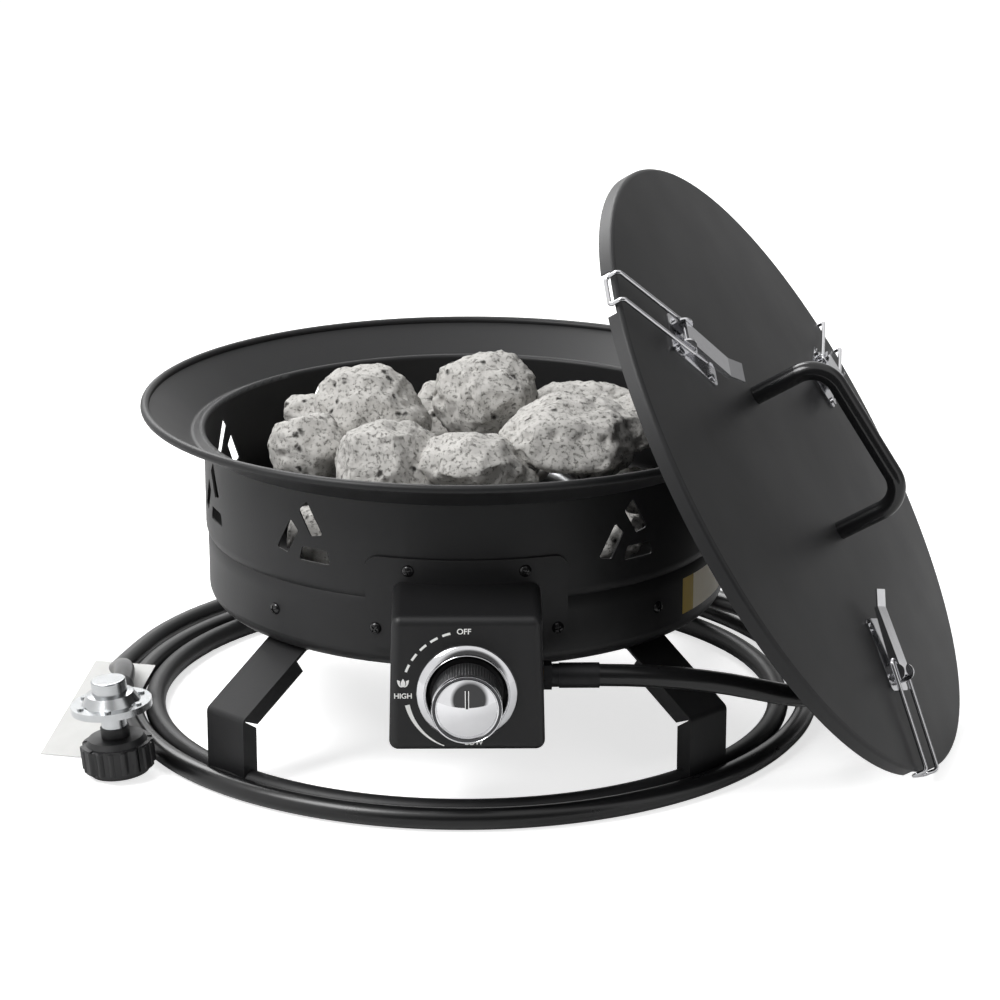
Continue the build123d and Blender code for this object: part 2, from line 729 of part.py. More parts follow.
# Valve body behind the face
jet_plane = Plane(origin=(0, -BOX_INSIDE + VALVE_DEPTH, JET_HEIGHT), x_dir=(1, 0, 0), z_dir=(0, 1, 0))
inlet_plane = Plane(origin=(VALVE_HALF, -INLET_BACK, INLET_HEIGHT), x_dir=(0, 1, 0), z_dir=(1, 0, 0))
with BuildPart() as valve_body:
    with BuildSketch(valve_front):
        with Locations((0, (VALVE_BOTTOM + VALVE_TOP) / 2 - KNOB_HEIGHT)):
            RectangleRounded(2 * VALVE_HALF, VALVE_TOP - VALVE_BOTTOM, BEZEL_DEPTH)
    extrude(amount=-VALVE_DEPTH)
    with BuildSketch(valve_front):
        Circle(STEM_RADIUS + FIT)
    extrude(amount=-PLUG_FRONT, mode=Mode.SUBTRACT)
    with BuildSketch(moved(valve_front, 0, 0, -PLUG_FRONT)):
        Circle(PLUG_RADIUS + FIT)
    extrude(amount=-PLUG_LENGTH - 2 * FIT, mode=Mode.SUBTRACT)
    with BuildSketch(valve_front):
        with Locations((-VALVE_SCREW_SPREAD, 0), (VALVE_SCREW_SPREAD, 0)):
            Circle(VALVE_SCREW_RADIUS + FIT)
    extrude(amount=-VALVE_SCREW_LENGTH, mode=Mode.SUBTRACT)
    with BuildSketch(jet_plane):
        Circle(JET_RADIUS)
    extrude(amount=JET_LENGTH)
    with BuildSketch(jet_plane):
        Circle(PORT_RADIUS)
    extrude(amount=OVERRUN / 2, both=True, mode=Mode.SUBTRACT)
valve_body.part.label = "valve_body"
export_step(valve_body.part, "parts/valve_body.step")

# Plug that turns in the valve
with BuildPart() as valve_plug:
    with BuildSketch(moved(valve_front, 0, 0, -PLUG_FRONT - FIT)):
        Circle(PLUG_RADIUS)
    extrude(amount=-PLUG_LENGTH)
    with BuildSketch(moved(valve_front, 0, 0, -PLUG_FRONT - FIT)):
        Circle(STEM_RADIUS + FIT)
    extrude(amount=SHEET - PLUG_LENGTH, mode=Mode.SUBTRACT)
valve_plug.part.label = "valve_plug"
export_step(valve_plug.part, "parts/valve_plug.step")

# Two screws through the face into the valve
with BuildPart() as valve_screws:
    with BuildSketch(KNOB):
        with Locations((-VALVE_SCREW_SPREAD, 0), (VALVE_SCREW_SPREAD, 0)):
            Circle(VALVE_SCREW_HEAD)
    extrude(amount=SCREW_HEAD)
    with BuildSketch(KNOB):
        with Locations((-VALVE_SCREW_SPREAD, 0), (VALVE_SCREW_SPREAD, 0)):
            Circle(VALVE_SCREW_RADIUS)
    extrude(amount=-VALVE_SCREW_LENGTH)
valve_screws.part.label = "valve_screws"
export_step(valve_screws.part, "parts/valve_screws.step")

# Inlet pipe from the valve out through the side of the box
inlet_length = side_half + COLLAR_LENGTH - VALVE_HALF
with BuildPart() as inlet_pipe:
    with BuildSketch(inlet_plane):
        Circle(INLET_PIPE_RADIUS)
        Circle(HOSE_BORE, mode=Mode.SUBTRACT)
    extrude(amount=inlet_length)
inlet_pipe.part.label = "inlet_pipe"
export_step(inlet_pipe.part, "parts/inlet_pipe.step")

# Nut outside the box, round the inlet pipe
collar_plane = moved(inlet_plane, 0, 0, side_half - VALVE_HALF + SLIP)
with BuildPart() as hose_collar:
    with BuildSketch(collar_plane):
        RegularPolygon(COLLAR_RADIUS, 6)
        Circle(INLET_PIPE_RADIUS + FIT, mode=Mode.SUBTRACT)
    extrude(amount=COLLAR_LENGTH - SLIP)
hose_collar.part.label = "hose_collar"
export_step(hose_collar.part, "parts/hose_collar.step")


def ferrule_solid(plane):
    """Crimped sleeve along a plane's normal, from its square end to the hose."""
    with BuildPart() as ferrule:
        with BuildSketch(axial(plane)):
            Polygon(
                (0, 0),
                (FERRULE_RADIUS - FERRULE_NECK, 0),
                (FERRULE_RADIUS - FERRULE_NECK, FERRULE_STEP),
                (FERRULE_RADIUS, FERRULE_STEP),
                (FERRULE_RADIUS, FERRULE_LENGTH),
                (0, FERRULE_LENGTH),
                align=None,
            )
        revolve(axis=axis_of(plane))
        with BuildSketch(plane):
            Circle(HOSE_BORE)
        extrude(amount=FERRULE_LENGTH, mode=Mode.SUBTRACT)
    return ferrule.part


# Ferrule at the box
ferrule_plane = moved(inlet_plane, 0, 0, inlet_length)
box_ferrule = ferrule_solid(ferrule_plane)
with BuildPart() as hose_ferrule_box:
    add(box_ferrule)
hose_ferrule_box.part.label = "hose_ferrule_box"
export_step(hose_ferrule_box.part, "parts/hose_ferrule_box.step")

# Mixer tube from the jet through the pan's wall and up to the burner
mixer_start = -BOX_INSIDE + VALVE_DEPTH + JET_LENGTH + MIXER_GAP
mixer_plane = Plane(origin=(0, mixer_start, JET_HEIGHT), x_dir=(1, 0, 0), z_dir=(0, 1, 0))
hub_bottom = BURNER_HEIGHT - HUB_TUBE
with BuildPart() as mixer_tube:
    with BuildLine() as mixer_line:
        FilletPolyline(
            (0, mixer_start, JET_HEIGHT), (0, 0, JET_HEIGHT), (0, 0, hub_bottom), radius=MIXER_BEND
        )
    with BuildSketch(mixer_plane):
        Circle(MIXER_RADIUS)
        Circle(MIXER_BORE, mode=Mode.SUBTRACT)
    sweep(path=mixer_line.line)
mixer_tube.part.label = "mixer_tube"
export_step(mixer_tube.part, "parts/mixer_tube.step")

# Burner: a ring with a crossbar and a hub
with BuildPart() as burner_ring:
    with BuildSketch(Plane.XZ):
        with Locations((BURNER_RADIUS, BURNER_HEIGHT)):
            Circle(BURNER_TUBE)
    revolve(axis=Axis.Z)
    with BuildSketch(Plane.YZ):
        with Locations((0, BURNER_HEIGHT)):
            Circle(BAR_TUBE)
    extrude(amount=BURNER_RADIUS, both=True)
    with BuildSketch(Plane.XY.offset(hub_bottom)):
        Circle(HUB_TUBE)
    extrude(amount=HUB_TUBE + BAR_TUBE / 3)
burner_ring.part.label = "burner_ring"
export_step(burner_ring.part, "parts/burner_ring.step")

# Stands that hold the burner above the bowl's floor
stand_foot_line = BOWL_FLOOR + STAND_SHEET / 2
with BuildPart() as burner_stands:
    with BuildSketch(*[section_plane(angle) for angle in STAND_ANGLES]):
        with BuildLine():
            Polyline(
                (BURNER_RADIUS + STAND_FOOT, stand_foot_line),
                (BURNER_RADIUS, stand_foot_line),
                (BURNER_RADIUS, BURNER_HEIGHT),
            )
        trace(line_width=STAND_SHEET)
    extrude(amount=STAND_WIDTH / 2, both=True)
    with Locations((0, 0, BURNER_HEIGHT)):
        Torus(BURNER_RADIUS, BURNER_TUBE + JOINT, mode=Mode.SUBTRACT)
burner_stands.part.label = "burner_stands"
export_step(burner_stands.part, "parts/burner_stands.step")

# Regulator frame: on the floor, leaning to the left
lean = radians(REG_LEAN)
REG = Plane(
    origin=(REG_PLACE[0], REG_PLACE[1], NUT_RADIUS * sin(lean)),
    x_dir=(cos(lean), 0, sin(lean)),
    z_dir=(-sin(lean), 0, cos(lean)),
)

# Hand nut with six broad ribs
with BuildPart() as hand_nut:
    with BuildSketch(axial(REG)):
        Polygon(
            (0, 0),
            (NUT_CORE - NUT_CHAMFER / 4, 0),
            (NUT_CORE, NUT_CHAMFER),
            (NUT_CORE, NUT_HEIGHT - NUT_CHAMFER),
            (NUT_CORE - NUT_CHAMFER / 2, NUT_HEIGHT),
            (0, NUT_HEIGHT),
            align=None,
        )
    revolve(axis=axis_of(REG))
    with BuildSketch(moved(REG, 0, 0, NUT_CHAMFER)):
        Circle(NUT_RADIUS)
        with PolarLocations(NUT_RADIUS, NUT_RIBS):
            Rectangle(NUT_RADIUS, NUT_RIB_WIDTH, mode=Mode.SUBTRACT)
    extrude(amount=NUT_HEIGHT - 2 * NUT_CHAMFER)
    with BuildSketch(REG):
        Circle(NUT_BORE)
    extrude(amount=NUT_BORE_DEPTH, mode=Mode.SUBTRACT)
    with BuildSketch(REG):
        Circle(NUT_NECK)
    extrude(amount=NUT_HEIGHT, mode=Mode.SUBTRACT)
hand_nut.part.label = "hand_nut"
export_step(hand_nut.part, "parts/hand_nut.step")

# Nipple through the nut, with its head inside
nipple_head_top = NUT_BORE_DEPTH - SLIP
with BuildPart() as inlet_nipple:
    with BuildSketch(moved(REG, 0, 0, nipple_head_top - NIPPLE_HEAD)):
        Circle(NIPPLE_HEAD_RADIUS)
    extrude(amount=NIPPLE_HEAD)
    with BuildSketch(moved(REG, 0, 0, nipple_head_top - NIPPLE_HEAD)):
        Circle(NIPPLE_RADIUS)
    extrude(amount=NUT_HEIGHT + SLIP + NIPPLE_HEAD - nipple_head_top)
inlet_nipple.part.label = "inlet_nipple"
export_step(inlet_nipple.part, "parts/inlet_nipple.step")

# Black collar above the nut
with BuildPart() as nut_collar:
    with BuildSketch(moved(REG, 0, 0, NUT_HEIGHT + SLIP)):
        Circle(COLLAR_BLACK_RADIUS)
    extrude(amount=COLLAR_BLACK_TOP - NUT_HEIGHT - SLIP)
nut_collar.part.label = "nut_collar"
export_step(nut_collar.part, "parts/nut_collar.step")

# Lower case with the outlet to the hose
outlet_plane = Plane(
    origin=REG.origin + REG.z_dir * OUTLET_HEIGHT, x_dir=REG.x_dir, z_dir=(0, 1, 0)
)
case_screw_plane = moved(REG, 0, 0, FLANGE_TOP)
with BuildPart() as regulator_lower_case:
    with BuildSketch(axial(REG)):
        Polygon(
            (0, COLLAR_BLACK_TOP),
            (NECK_RADIUS, COLLAR_BLACK_TOP),
            (NECK_RADIUS, CASE_LOW),
            (FLANGE_RADIUS - FERRULE_STEP, FLANGE_LOW),
            (FLANGE_RADIUS, FLANGE_LOW),
            (FLANGE_RADIUS, FLANGE_SPLIT),
            (0, FLANGE_SPLIT),
            align=None,
        )
    revolve(axis=axis_of(REG))
    with BuildSketch(outlet_plane):
        Circle(OUTLET_RADIUS)
    extrude(amount=OUTLET_LENGTH)
    with BuildSketch(moved(outlet_plane, 0, 0, NECK_RADIUS)):
        Circle(HOSE_BORE)
    extrude(amount=OUTLET_LENGTH, mode=Mode.SUBTRACT)
    with BuildSketch(case_screw_plane):
        with PolarLocations(CASE_SCREW_CIRCLE, CASE_SCREW_COUNT, start_angle=180 / CASE_SCREW_COUNT):
            Circle(CASE_SCREW_RADIUS + FIT)
    extrude(amount=-OVERRUN, mode=Mode.SUBTRACT)
regulator_lower_case.part.label = "regulator_lower_case"
export_step(regulator_lower_case.part, "parts/regulator_lower_case.step")

# Upper case: flange and dome
with BuildPart() as regulator_upper_case:
    with BuildSketch(axial(REG)):
        Polygon(
            (0, FLANGE_SPLIT),
            (FLANGE_RADIUS, FLANGE_SPLIT),
            (FLANGE_RADIUS, FLANGE_TOP),
            (CASE_SCREW_CIRCLE - CASE_SCREW_HEAD_RADIUS - SLIP, FLANGE_TOP),
            (CASE_SHOULDER, CASE_TOP - FERRULE_NECK),
            (BONNET_RADIUS, CASE_TOP),
            (0, CASE_TOP),
            align=None,
        )
    revolve(axis=axis_of(REG))
    with BuildSketch(case_screw_plane):
        with PolarLocations(CASE_SCREW_CIRCLE, CASE_SCREW_COUNT, start_angle=180 / CASE_SCREW_COUNT):
            Circle(CASE_SCREW_RADIUS + FIT)
    extrude(amount=-OVERRUN, mode=Mode.SUBTRACT)
regulator_upper_case.part.label = "regulator_upper_case"
export_step(regulator_upper_case.part, "parts/regulator_upper_case.step")

# Round cap on the dome
with BuildPart() as regulator_cap:
    with BuildSketch(moved(REG, 0, 0, CASE_TOP)):
        Circle(BONNET_RADIUS)
    extrude(amount=BONNET_TOP - CASE_TOP)
    fillet(regulator_cap.faces().sort_by(axis_of(REG))[-1].edges(), radius=BONNET_ROUND)
regulator_cap.part.label = "regulator_cap"
export_step(regulator_cap.part, "parts/regulator_cap.step")

# Small screws round the flange
with BuildPart() as regulator_screws:
    with BuildSketch(case_screw_plane):
        with PolarLocations(CASE_SCREW_CIRCLE, CASE_SCREW_COUNT, start_angle=180 / CASE_SCREW_COUNT):
            Circle(CASE_SCREW_HEAD_RADIUS)
    extrude(amount=CASE_SCREW_HEAD)
    with BuildSketch(case_screw_plane):
        with PolarLocations(CASE_SCREW_CIRCLE, CASE_SCREW_COUNT, start_angle=180 / CASE_SCREW_COUNT):
            Circle(CASE_SCREW_RADIUS)
    extrude(amount=FLANGE_LOW - FLANGE_TOP)
regulator_screws.part.label = "regulator_screws"
export_step(regulator_screws.part, "parts/regulator_screws.step")

# Ferrule at the regulator
reg_ferrule_plane = moved(outlet_plane, 0, 0, OUTLET_LENGTH)
reg_ferrule = ferrule_solid(reg_ferrule_plane)
with BuildPart() as hose_ferrule_regulator:
    add(reg_ferrule)
hose_ferrule_regulator.part.label = "hose_ferrule_regulator"
export_step(hose_ferrule_regulator.part, "parts/hose_ferrule_regulator.step")

# Hose, first stretch: from the box over the ring, down behind the bowl to the floor
drop_points = [
    around(angle, COIL_RADIUS / cos(radians(HOSE_DROP_HALF)), height)
    for angle, height in zip(HOSE_DROP_ANGLES, HOSE_DROP_HEIGHTS + (HOSE_RADIUS,))
]
coil_start_angle = HOSE_DROP_ANGLES[-1] + HOSE_DROP_HALF
hose_start = ferrule_plane.origin + ferrule_plane.z_dir * FERRULE_LENGTH
coil_start = around(coil_start_angle, COIL_RADIUS, HOSE_RADIUS)
hose_lead = hose_start + Vector(HOSE_LEAD, 0, 0)
first_points = [hose_start, hose_lead, Vector(*HOSE_SWING), *drop_points, coil_start]
with BuildPart() as gas_hose:
    with BuildLine() as first_line:
        FilletPolyline(*first_points, radius=bend_radii(first_points))
    with BuildSketch(moved(ferrule_plane, 0, 0, FERRULE_LENGTH)):
        Circle(HOSE_RADIUS)
    sweep(path=first_line.line)
gas_hose.part.label = "gas_hose"
export_step(gas_hose.part, "parts/gas_hose.step")
first_wire = first_line.wires()[0]
first_length = first_wire.length

# Hose, coil: one pass beside the ring, then a wider pass outside it, in arcs that share tangents
outer_radius = COIL_RADIUS + COIL_GROWTH
end_radius = outer_radius - COIL_EASE
outer_centre = -around(COIL_OUT_ANGLE, COIL_GROWTH, 0)
end_centre = outer_centre + around(COIL_IN_ANGLE, COIL_EASE, 0)
coil_arcs = (
    (Vector(0, 0, 0), COIL_RADIUS, coil_start_angle, 360),
    (Vector(0, 0, 0), COIL_RADIUS, 0, COIL_OUT_ANGLE),
    (outer_centre, outer_radius, COIL_OUT_ANGLE, COIL_IN_ANGLE),
    (end_centre, end_radius, COIL_IN_ANGLE, COIL_END_ANGLE),
)
with BuildPart() as hose_coil:
    with BuildLine() as coil_line:
        for centre, radius, begin, end in coil_arcs:
            ThreePointArc(
                centre + around(begin, radius, HOSE_RADIUS),
                centre + around((begin + end) / 2, radius, HOSE_RADIUS),
                centre + around(end, radius, HOSE_RADIUS),
            )
    with BuildSketch(Plane(origin=coil_start, x_dir=(0, 0, 1), z_dir=heading(coil_start_angle))):
        Circle(HOSE_RADIUS)
    sweep(path=coil_line.wires()[0])
hose_coil.part.label = "hose_coil"
export_step(hose_coil.part, "parts/hose_coil.step")
coil_length = sum(radius * radians(end - begin) for centre, radius, begin, end in coil_arcs)

# Hose, last stretch: off the floor to the regulator's ferrule
coil_end = end_centre + around(COIL_END_ANGLE, end_radius, HOSE_RADIUS)
hose_end = reg_ferrule_plane.origin + reg_ferrule_plane.z_dir * FERRULE_LENGTH
last_points = [
    coil_end,
    coil_end + heading(COIL_END_ANGLE) * HOSE_LIFT,
    hose_end + Vector(0, HOSE_RISE_SETBACK, 0),
    hose_end,
]
with BuildPart() as hose_tail:
    with BuildLine() as last_line:
        FilletPolyline(*last_points, radius=bend_radii(last_points))
    with BuildSketch(Plane(origin=coil_end, x_dir=(0, 0, 1), z_dir=heading(COIL_END_ANGLE))):
        Circle(HOSE_RADIUS)
    sweep(path=last_line.line)
hose_tail.part.label = "hose_tail"
export_step(hose_tail.part, "parts/hose_tail.step")
last_length = last_line.wires()[0].length

# Least gaps of the hose: between its passes, to the ring and to the nut, measured on points
arc_samples = 40
line_samples = 120
pass_points = []
for number, (centre, radius, begin, end) in enumerate(coil_arcs):
    for step in range(arc_samples + 1):
        angle = begin + (end - begin) * step / arc_samples
        pass_points.append((number, centre + around(angle, radius, HOSE_RADIUS)))
first_samples = [first_wire @ (step / line_samples) for step in range(line_samples + 1)]
inner_pass = [place for number, place in pass_points if number < 2]
outer_pass = [place for number, place in pass_points if number > 1]
late_outer = [place for place in outer_pass if place.X < 0]
pass_gap = min((a - b).length for a in inner_pass for b in late_outer) - 2 * HOSE_RADIUS
drop_gap = min((a - b).length for a in first_samples for b in outer_pass) - 2 * HOSE_RADIUS
nut_gap = min(hypot(a.X - REG_PLACE[0], a.Y - REG_PLACE[1]) for a in inner_pass) - NUT_RADIUS - HOSE_RADIUS
print("hose gaps", round(pass_gap, 2), round(drop_gap, 2), round(nut_gap, 2))
print("hose length", round(first_length + coil_length + last_length, 1))
tube_area = pi * HOSE_RADIUS ** 2
for stretch, length in ((gas_hose, first_length), (hose_coil, coil_length), (hose_tail, last_length)):
    print("hose volume share", round(stretch.part.volume / (tube_area * length), 5))

# Paper tag with a hole that the hose goes through, standing on its near edge behind the regulator
tag_side = Vector(cos(radians(TAG_TURN)), sin(radians(TAG_TURN)), 0)
tag_back = Vector(-sin(radians(TAG_TURN)), cos(radians(TAG_TURN)), 0)
tag_up = tag_back * cos(radians(TAG_RISE)) + Vector(0, 0, sin(radians(TAG_RISE)))
tag_corner = Vector(TAG_CORNER[0], TAG_CORNER[1], JOINT)
with BuildPart() as hose_tag:
    with BuildSketch(Plane(origin=tag_corner, x_dir=tag_side, z_dir=tag_side.cross(tag_up))):
        Rectangle(TAG_WIDTH, TAG_LENGTH, align=(Align.MIN, Align.MIN))
    extrude(amount=TAG_SHEET)
    with BuildSketch(Plane(origin=coil_end, x_dir=(0, 0, 1), z_dir=heading(COIL_END_ANGLE))):
        Circle(HOSE_RADIUS + SLIP)
    sweep(path=last_line.line, mode=Mode.SUBTRACT)
hose_tag.part.label = "hose_tag"
export_step(hose_tag.part, "parts/hose_tag.step")

# Lid frame: the plate's edge plane, leaning so that the skirt stands on the floor
# and the underside of the crown meets the rim
tilt = radians(LID_TILT)
facing = Vector(cos(radians(LID_FACING)), sin(radians(LID_FACING)), 0)
sideways = Vector(-sin(radians(LID_FACING)), cos(radians(LID_FACING)), 0)
lid_normal = facing * sin(tilt) + Vector(0, 0, cos(tilt))
rim_reach = (RIM_RADIUS - LIP_RADIUS) * sin(tilt) + (RIM_HEIGHT - LIP_RADIUS) * cos(tilt) + LIP_RADIUS
lid_height = LID_SKIRT * cos(tilt) + LID_RADIUS * sin(tilt)
lid_reach = rim_reach - LID_CROWN + LID_SHEET + SLIP
lid_out = (lid_reach - lid_height * cos(tilt)) / sin(tilt)
lid_centre = facing * lid_out + sideways * LID_SLIDE + Vector(0, 0, lid_height)
LID = Plane(origin=lid_centre, x_dir=sideways, z_dir=lid_normal)


def crown_height(radius):
    """Height of the lid's crown over its edge plane at a distance from its centre."""
    return LID_CROWN - CROWN_SWEEP + sqrt(CROWN_SWEEP ** 2 - max(radius - LID_FLAT, 0) ** 2)


def crown_plane(radius, angle):
    """Plane on the crown at a place in the lid's own measure, with x away from the centre."""
    slope = asin(max(radius - LID_FLAT, 0) / CROWN_SWEEP)
    away = LID.x_dir * cos(radians(angle)) + LID.y_dir * sin(radians(angle))
    place = LID.origin + away * radius + LID.z_dir * (crown_height(radius) + JOINT)
    along = away * cos(slope) - LID.z_dir * sin(slope)
    return Plane(origin=place, x_dir=along, z_dir=away * sin(slope) + LID.z_dir * cos(slope))


latch_planes = [crown_plane(LATCH_RADIUS, angle) for angle in LATCH_ANGLES]
rivet_places = [(x, y) for x in (RIVET_OUT, RIVET_IN) for y in (-RIVET_SIDE, RIVET_SIDE)]
handle_along = Vector(cos(radians(HANDLE_TURN)), sin(radians(HANDLE_TURN)), 0)
handle_feet = [Vector(*HANDLE_PLACE, 0) + handle_along * (s * HANDLE_LENGTH / 2) for s in (-1, 1)]
foot_planes = [crown_plane(hypot(foot.X, foot.Y), degrees(atan2(foot.Y, foot.X))) for foot in handle_feet]

# Lid plate with its skirt, notched under each latch
inner_edge = LID_RADIUS - LID_SHEET
crown_middle = (LID_FLAT + LID_RADIUS) / 2
with BuildPart() as lid_shell:
    with BuildSketch(axial(LID)):
        with BuildLine():
            Line((0, LID_CROWN), (LID_FLAT, LID_CROWN))
            ThreePointArc((LID_FLAT, LID_CROWN), (crown_middle, crown_height(crown_middle)), (LID_RADIUS, 0))
            Polyline(
                (LID_RADIUS, 0),
                (LID_RADIUS, -LID_SKIRT),
                (inner_edge, -LID_SKIRT),
                (inner_edge, -LID_SHEET),
            )
            ThreePointArc(
                (inner_edge, -LID_SHEET),
                (crown_middle, crown_height(crown_middle) - LID_SHEET),
                (LID_FLAT, LID_CROWN - LID_SHEET),
            )
            Line((LID_FLAT, LID_CROWN - LID_SHEET), (0, LID_CROWN - LID_SHEET))
            Line((0, LID_CROWN - LID_SHEET), (0, LID_CROWN))
        make_face()
    revolve(axis=axis_of(LID))
    rims = lid_shell.edges().filter_by(GeomType.CIRCLE)
    wide_rims = [e for e in rims if abs(e.radius - LID_RADIUS) < JOINT]
    outer_rim = [e for e in wide_rims if (e.arc_center - LID.origin).length < JOINT]
    fillet(outer_rim, radius=LID_ROUND)
    for angle in LATCH_ANGLES:
        notch_plane = Plane(
            origin=LID.origin,
            x_dir=LID.x_dir * cos(radians(angle)) + LID.y_dir * sin(radians(angle)),
            z_dir=LID.z_dir,
        )
        with BuildSketch(moved(notch_plane, LID_RADIUS, 0, -NOTCH_TOP - LID_ROUND)):
            Rectangle(2 * NOTCH_DEPTH, NOTCH_WIDTH)
        extrude(amount=-OVERRUN, mode=Mode.SUBTRACT)
    with BuildSketch(*latch_planes):
        with Locations(*rivet_places):
            Circle(RIVET_SHANK + FIT)
    extrude(amount=OVERRUN / 4, both=True, mode=Mode.SUBTRACT)
    with BuildSketch(*foot_planes):
        Circle(HANDLE_BOLT + FIT)
    extrude(amount=OVERRUN / 4, both=True, mode=Mode.SUBTRACT)
lid_shell.part.label = "lid_shell"
export_step(lid_shell.part, "parts/lid_shell.step")

# Handle: one bent tube
handle_points = [
    foot_planes[0].origin,
    foot_planes[0].origin + LID.z_dir * HANDLE_HEIGHT,
    foot_planes[1].origin + LID.z_dir * HANDLE_HEIGHT,
    foot_planes[1].origin,
]
with BuildPart() as lid_handle:
    with BuildLine() as handle_line:
        FilletPolyline(*handle_points, radius=HANDLE_ROUND)
    with BuildSketch(Plane(origin=handle_points[0], x_dir=LID.x_dir, z_dir=LID.z_dir)):
        Circle(HANDLE_TUBE)
    sweep(path=handle_line.line)
    with BuildSketch(*foot_planes):
        Circle(HANDLE_BOLT + FIT)
    extrude(amount=HANDLE_BOLT_DEPTH, mode=Mode.SUBTRACT)
    for foot in foot_planes:
        with BuildSketch(foot):
            Circle(2 * HANDLE_TUBE)
        extrude(amount=-OVERRUN / 4, mode=Mode.SUBTRACT)
lid_handle.part.label = "lid_handle"
export_step(lid_handle.part, "parts/lid_handle.step")

# Bolts under the lid that hold the handle
head_top = -LID_SHEET - 2 * JOINT
with BuildPart() as handle_bolts:
    for foot in foot_planes:
        with BuildSketch(moved(foot, 0, 0, head_top)):
            Circle(HANDLE_BOLT_HEAD_RADIUS)
        extrude(amount=-HANDLE_BOLT_HEAD)
        with BuildSketch(moved(foot, 0, 0, head_top)):
            Circle(HANDLE_BOLT)
        extrude(amount=HANDLE_BOLT_DEPTH - SLIP - head_top)
handle_bolts.part.label = "handle_bolts"
export_step(handle_bolts.part, "parts/handle_bolts.step")


def base_solid(plane):
    """Latch base: a plate with two ears for the pivot."""
    ear_inner = LEVER_HALF + SLIP
    with BuildPart() as base:
        with BuildSketch(moved(plane, (BASE_INNER + BASE_OUTER) / 2, 0, 0)):
            RectangleRounded(BASE_OUTER - BASE_INNER, BASE_WIDTH, BASE_CORNER)
        extrude(amount=BASE_SHEET)
        for side in (-1, 1):
            ear_plane = Plane(
                origin=plane.origin + plane.y_dir * (side * (ear_inner + EAR_SHEET / 2)),
                x_dir=plane.x_dir,
                z_dir=-plane.y_dir,
            )
            with BuildSketch(ear_plane):
                with Locations((PIVOT_OUT, PIVOT_HEIGHT)):
                    Circle(EAR_RADIUS)
                with Locations((PIVOT_OUT, PIVOT_HEIGHT / 2 + JOINT)):
                    Rectangle(2 * EAR_RADIUS, PIVOT_HEIGHT)
                with Locations((PIVOT_OUT, -OVERRUN / 2)):
                    Rectangle(OVERRUN, OVERRUN, mode=Mode.SUBTRACT)
                with Locations((PIVOT_OUT, PIVOT_HEIGHT)):
                    Circle(PIVOT_PIN + FIT, mode=Mode.SUBTRACT)
            extrude(amount=EAR_SHEET / 2, both=True)
        with BuildSketch(plane):
            with Locations(*rivet_places):
                Circle(RIVET_SHANK + FIT)
        extrude(amount=OVERRUN / 4, both=True, mode=Mode.SUBTRACT)
    return base.part


def lever_solid(plane):
    """Latch lever: a channel with a turned-up tab and holes for the pivot and the bail."""
    middle = LEVER_TOP - LEVER_SHEET / 2
    with BuildPart() as lever:
        with BuildSketch(axial(plane)):
            with BuildLine():
                Polyline(
                    (LEVER_OUTER, middle),
                    (LEVER_INNER + LEVER_TAB, middle),
                    (LEVER_INNER, middle + LEVER_TAB_LIFT),
                )
            trace(line_width=LEVER_SHEET)
        extrude(amount=LEVER_HALF, both=True)
        for side in (-1, 1):
            side_plane = Plane(
                origin=plane.origin + plane.y_dir * (side * (LEVER_HALF - LEVER_SHEET / 2)),
                x_dir=plane.x_dir,
                z_dir=-plane.y_dir,
            )
            with BuildSketch(side_plane):
                Polygon(
                    (LEVER_OUTER, LEVER_TOP - LEVER_SHEET / 2),
                    (LEVER_OUTER, LEVER_TOP - LEVER_SIDE),
                    (BAIL_OUT - 2 * BAIL_WIRE, LEVER_TOP - LEVER_SIDE),
                    (LEVER_INNER + LEVER_TAB, LEVER_TOP - LEVER_SIDE / 2),
                    (LEVER_INNER + LEVER_TAB, LEVER_TOP - LEVER_SHEET / 2),
                    align=None,
                )
                with Locations((PIVOT_OUT, PIVOT_HEIGHT)):
                    Circle(PIVOT_PIN + FIT, mode=Mode.SUBTRACT)
                with Locations((BAIL_OUT, PIVOT_HEIGHT)):
                    Circle(BAIL_WIRE + FIT, mode=Mode.SUBTRACT)
            extrude(amount=LEVER_SHEET / 2, both=True)
    return lever.part


def bail_solid(plane):
    """Wire bail from the lever out to a hook over the lid's edge."""
    reach = LID_RADIUS - LATCH_RADIUS + BAIL_WIRE + 2 * SLIP
    inner = LEVER_HALF - LEVER_SHEET - SLIP
    half_points = [
        (BAIL_OUT, inner, PIVOT_HEIGHT),
        (BAIL_OUT, BAIL_HALF, PIVOT_HEIGHT),
        (reach, BAIL_HALF, BAIL_END_HEIGHT),
        (reach, BAIL_HALF, BAIL_END_HEIGHT - BAIL_HOOK),
    ]
    points = half_points + [(x, -y, z) for x, y, z in reversed(half_points)]
    places = [plane.from_local_coords(Vector(*point)) for point in points]
    with BuildPart() as bail:
        with BuildLine() as bail_line:
            FilletPolyline(*places, radius=BAIL_ROUND)
        with BuildSketch(Plane(origin=places[0], x_dir=plane.x_dir, z_dir=plane.y_dir)):
            Circle(BAIL_WIRE)
        sweep(path=bail_line.line)
    return bail.part


